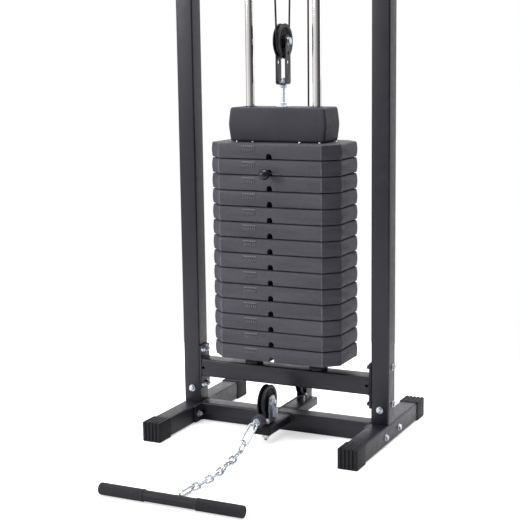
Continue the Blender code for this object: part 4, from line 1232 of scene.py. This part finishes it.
def build_carabiner(node, body, top, along, turn):
    """Bent wire body with a flattened nose, and a gate with a rivet at its foot and a latch pin.

    It hangs from top towards along, its gate turned that many degrees about it from +X.
    """
    across = Matrix.Rotation(math.radians(turn), 3, along) @ X
    centre = Vector(top) + along * (HOOK_STRAIGHT + HOOK_RADIUS)
    matrix = frame_of(across.normalized(), -along, centre)
    outline = [(HOOK_RADIUS, -GATE_MOUTH - 0.002), (HOOK_RADIUS, -GATE_MOUTH - 0.004)]
    outline += arc((0, -HOOK_STRAIGHT), HOOK_RADIUS, 0, -180, 24)
    outline += [(-HOOK_RADIUS, -HOOK_STRAIGHT + 2 * HOOK_STRAIGHT * k / 8) for k in range(1, 8)]
    outline += arc((0, HOOK_STRAIGHT), HOOK_RADIUS, 180, 0, 24)
    outline += [(HOOK_RADIUS, GATE_MOUTH + 0.004), (HOOK_RADIUS, GATE_MOUTH + 0.002)]
    hook = sweep([(u, v, 0) for u, v in outline], HOOK_WIRE, 20)
    piece(node + "_hook", hook, matrix, ZINC, body, [node], 50)
    nose = [(HOOK_RADIUS, GATE_HIGH + 0.0006, 0), (HOOK_RADIUS, GATE_MOUTH + 0.001, 0)]
    piece(node + "_tongue", sweep(nose, 0.0012, 12), matrix, ZINC, body)
    wire = [(HOOK_RADIUS, GATE_LOW + (GATE_HIGH - GATE_LOW) * k / 8, 0) for k in range(9)]
    parts = [(sweep(wire, GATE_WIRE, 20, flat=True), HERE)]
    for y, radius, half in ((GATE_LOW + 0.0008, 0.0016, 0.0032), (GATE_HIGH - 0.0022, 0.001, 0.0031)):
        parts.append((rod_bm(radius, -half, half, 20, 0.0004), shift(HOOK_RADIUS, y)))
    for letter, z in (("a", -0.0022), ("b", 0.0022)):
        cheek = [(HOOK_RADIUS, -GATE_MOUTH - 0.0035, z), (HOOK_RADIUS, GATE_LOW + 0.003, z)]
        piece(f"{node}_cheek_{letter}", sweep(cheek, 0.0011, 12), matrix, ZINC, body)
    piece(node + "_gate_rod", merged(*parts), matrix, ZINC, node + "_gate", [node + "_gate"])


def smooth_route(points, samples=12):
    """A Catmull-Rom curve through points."""
    ends = [2 * points[0] - points[1]] + points + [2 * points[-1] - points[-2]]
    route = []
    for a, b, c, d in zip(ends, ends[1:], ends[2:], ends[3:]):
        for i in range(samples):
            t = i / samples
            route.append(0.5 * (2 * b + (c - a) * t + (2 * a - 5 * b + 4 * c - d) * t * t
                                + (3 * b - a - 3 * c + d) * t ** 3))
    return route + [points[-1]]


def spaced(route, count):
    """count + 1 points at equal distances along a route, and that distance."""
    lengths = [0.0]
    for a, b in zip(route, route[1:]):
        lengths.append(lengths[-1] + (b - a).length)
    pitch = lengths[-1] / count
    points, i = [], 0
    for k in range(count + 1):
        while i < len(route) - 2 and lengths[i + 1] < k * pitch:
            i += 1
        share = (k * pitch - lengths[i]) / (lengths[i + 1] - lengths[i])
        points.append(route[i].lerp(route[i + 1], share))
    return points, pitch


def build_chain():
    """Ten separate welded links, each hooked through the next and turned from it."""
    route = [Vector(p) + Y * PLANE_Y for p in CHAIN_ROUTE]
    joints, pitch = spaced(smooth_route(route), len(LINK_TURNS))
    straight_half = pitch / 2 + LINK_WIRE - LINK_RADIUS
    outline = arc((straight_half, 0), LINK_RADIUS, -90, 90, 14)
    outline += arc((-straight_half, 0), LINK_RADIUS, 90, 270, 14)
    for i, (turn, a, b) in enumerate(zip(LINK_TURNS, joints, joints[1:])):
        along = (b - a).normalized()
        across = Matrix.Rotation(math.radians(turn), 3, along) @ along.cross(Z).normalized()
        link = sweep([(u, v, 0) for u, v in outline], LINK_WIRE, cyclic=True)
        bead_y = math.copysign(LINK_RADIUS, across.z)
        bead = sweep([(-0.0011, bead_y, 0), (0.0011, bead_y, 0)], LINK_WIRE * 1.12, 14)
        piece(f"chain_link_{i:02d}", merged((link, HERE), (bead, HERE)),
              frame_of(along, across, (a + b) / 2), ZINC, "low_handle", [] if i else ["chain"], 50)


def tab_bm():
    """Welded tab with a drilled hole, its base at the bar's centre line."""
    outline = [(-TAB_HALF, 0), (TAB_HALF, 0)] + arc((0, TAB_REACH), 0.011, 0, 180, 24)
    return plate_bm([outline, arc((0, TAB_REACH), 0.007, 0, 360, 32)[:-1]], 0.004, 0.0006)


def grip_bm(start, end, radius, bore):
    """A rubber grip from start to end along a bar, with a lip at its inner end, a rounded butt
    and a ring of moulded dots on it."""
    butt, dots = 0.003, 10
    skin = radius - 0.0004
    profile = [(bore, start), (radius - 0.0008, start), (radius, start + 0.0008),
               (radius, start + 0.0035), (skin, start + 0.0042), (skin, end - butt)]
    profile += [(skin - butt + butt * math.cos(a), end - butt + butt * math.sin(a))
                for a in (math.pi / 8, math.pi / 4, math.pi * 3 / 8, math.pi / 2)]
    profile += [(radius * 0.6, end), (radius * 0.57, end - 0.001), (radius * 0.34, end - 0.001),
                (radius * 0.3, end), (0, end)]
    parts = [(lathe(profile), HERE)]
    for a in turns(dots):
        dot = lathe([(0, 0.0007), (0.0009, 0.0006), (0.0014, 0), (0.0014, -0.001), (0, -0.001)], 10)
        parts.append((dot, shift(*polar(radius * 0.46, a, end - 0.0008))))
    return merged(*parts)


def build_short_bar():
    """Straight bar with a grip at each end and a welded tab in the middle."""
    low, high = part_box("short_bar")
    radius, half, grip, bar = high.z / 2, (high.x - low.x) / 2, 0.12, 0.0132
    centre = Vector(((low.x + high.x) / 2, low.y + radius, radius))
    piece("row_bar_tube", rod_bm(bar, 0.01 - half, half - 0.01, 64), at(centre, X), BAR, "short_bar",
          ["short_bar"])
    for side, sign in SIDES:
        sleeve = grip_bm(half - grip, half, radius, bar - 0.0002)
        piece(f"row_bar_grip_{side}", sleeve, at(centre, sign * X), RUBBER, "short_bar")
    piece("row_bar_tab", tab_bm(), shift(TAB_X, centre.y, radius), BAR, "short_bar")
    for side, sign in SIDES:
        points = [(TAB_X + sign * (TAB_HALF - 0.001), centre.y + bar * math.cos(a),
                   radius + bar * math.sin(a)) for a in (-0.35, -0.2, 0, 0.2, 0.35)]
        piece(f"row_bar_weld_{side}", sweep(points, 0.0017, 8, ripple=WELD_RIPPLE), HERE, PAINT,
              "short_bar")


def build_lat_bar():
    """A bar bent down to its grips, hung by its tab from the lat carabiner's lowest point."""
    low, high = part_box("lat_bar")
    pivot_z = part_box("lat_carabiner")[0].z + HOOK_WIRE
    place = shift(0, box_centre("lat_cable_stop").y, pivot_z - TAB_REACH - HOOK_SLACK)
    flat, tip, drop, radius, grip = 0.38, 0.58, 0.11, 0.014, 0.16
    curve = smooth_route([Vector((flat - 0.03, 0, 0)), Vector((flat + 0.012, 0, -0.0025)),
                          Vector((flat + 0.04, 0, -0.0148))], 10)
    end = Vector((tip, 0, -drop))
    path = [Vector((k * (flat - 0.03) / 10, 0, 0)) for k in range(10)] + curve
    path += [curve[-1].lerp(end, k / 8) for k in range(1, 9)]
    both = [Vector((-p.x, 0, p.z)) for p in reversed(path[1:])] + path
    piece("lat_bar_tube", sweep(both, radius, 40, flat=True), place, PAINT, "lat_bar", ["lat_bar"])
    along = (end - curve[-1]).normalized()
    for side, sign in SIDES:
        direction = Vector((sign * along.x, 0, along.z))
        butt = Vector((sign * tip, 0, -drop)) + direction * 0.0035
        sleeve = grip_bm(-grip, 0, (high.y - low.y) / 2, radius - 0.0002)
        piece(f"lat_bar_grip_{side}", sleeve, place @ at(butt, direction), RUBBER, "lat_bar")
    piece("lat_bar_tab", tab_bm(), place @ AXIS_TURN["Y"], PAINT, "lat_bar")


def build_low_handle():
    """What the low cable pulls: its stop, two carabiners, the chain and the short bar."""
    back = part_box("low_cable_stop")[1].y
    z = box_centre("low_front_pulley").z - CABLE_TURN
    eye = Vector((-0.002, back - 0.0322, z - 0.0005))
    hang = Vector((0, -0.885, -0.466)).normalized()
    across = Matrix.Rotation(math.radians(LOW_HOOK_TURN), 3, hang) @ X
    build_cable_stop("low_cable_stop", (0, back, z), -Y, eye, across, "low_handle")
    build_carabiner("low_carabiner", "low_handle", eye + hang * RING_SLACK, hang, LOW_HOOK_TURN)
    build_chain()
    build_short_bar()
    low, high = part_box("short_bar")
    radius = high.z / 2
    tab_end = Vector((TAB_X, low.y + radius + TAB_REACH + HOOK_SLACK, radius))
    along = (Vector(CHAIN_ROUTE[-1]) + Y * PLANE_Y - tab_end).normalized()
    build_carabiner("bar_carabiner", "low_handle", tab_end, along, BAR_HOOK_TURN)


def build_lat_handle():
    """What hangs from the upper end of the cable: its stop, a carabiner and the lat bar."""
    low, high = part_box("lat_cable_stop")
    y = (low.y + high.y) / 2
    eye = Vector((0, y, high.z - 0.025 - RING_RADIUS - 0.0002))
    build_cable_stop("lat_cable_stop", (0, y, high.z), -Z, eye, Y, "lat_handle")
    build_carabiner("lat_carabiner", "lat_handle", eye - Z * RING_SLACK, -Z, LAT_HOOK_TURN)
    build_lat_bar()


# -------- everything

build_studio()
build_cable()
build_feet()
build_uprights()
build_cross_tubes()
build_top_beam()
build_guides()
build_plates()
build_top_block()
build_stem()
build_pin()
for pulley in PULLEYS:
    build_pulley(pulley)
build_strap_brackets()
build_low_handle()
build_lat_handle()
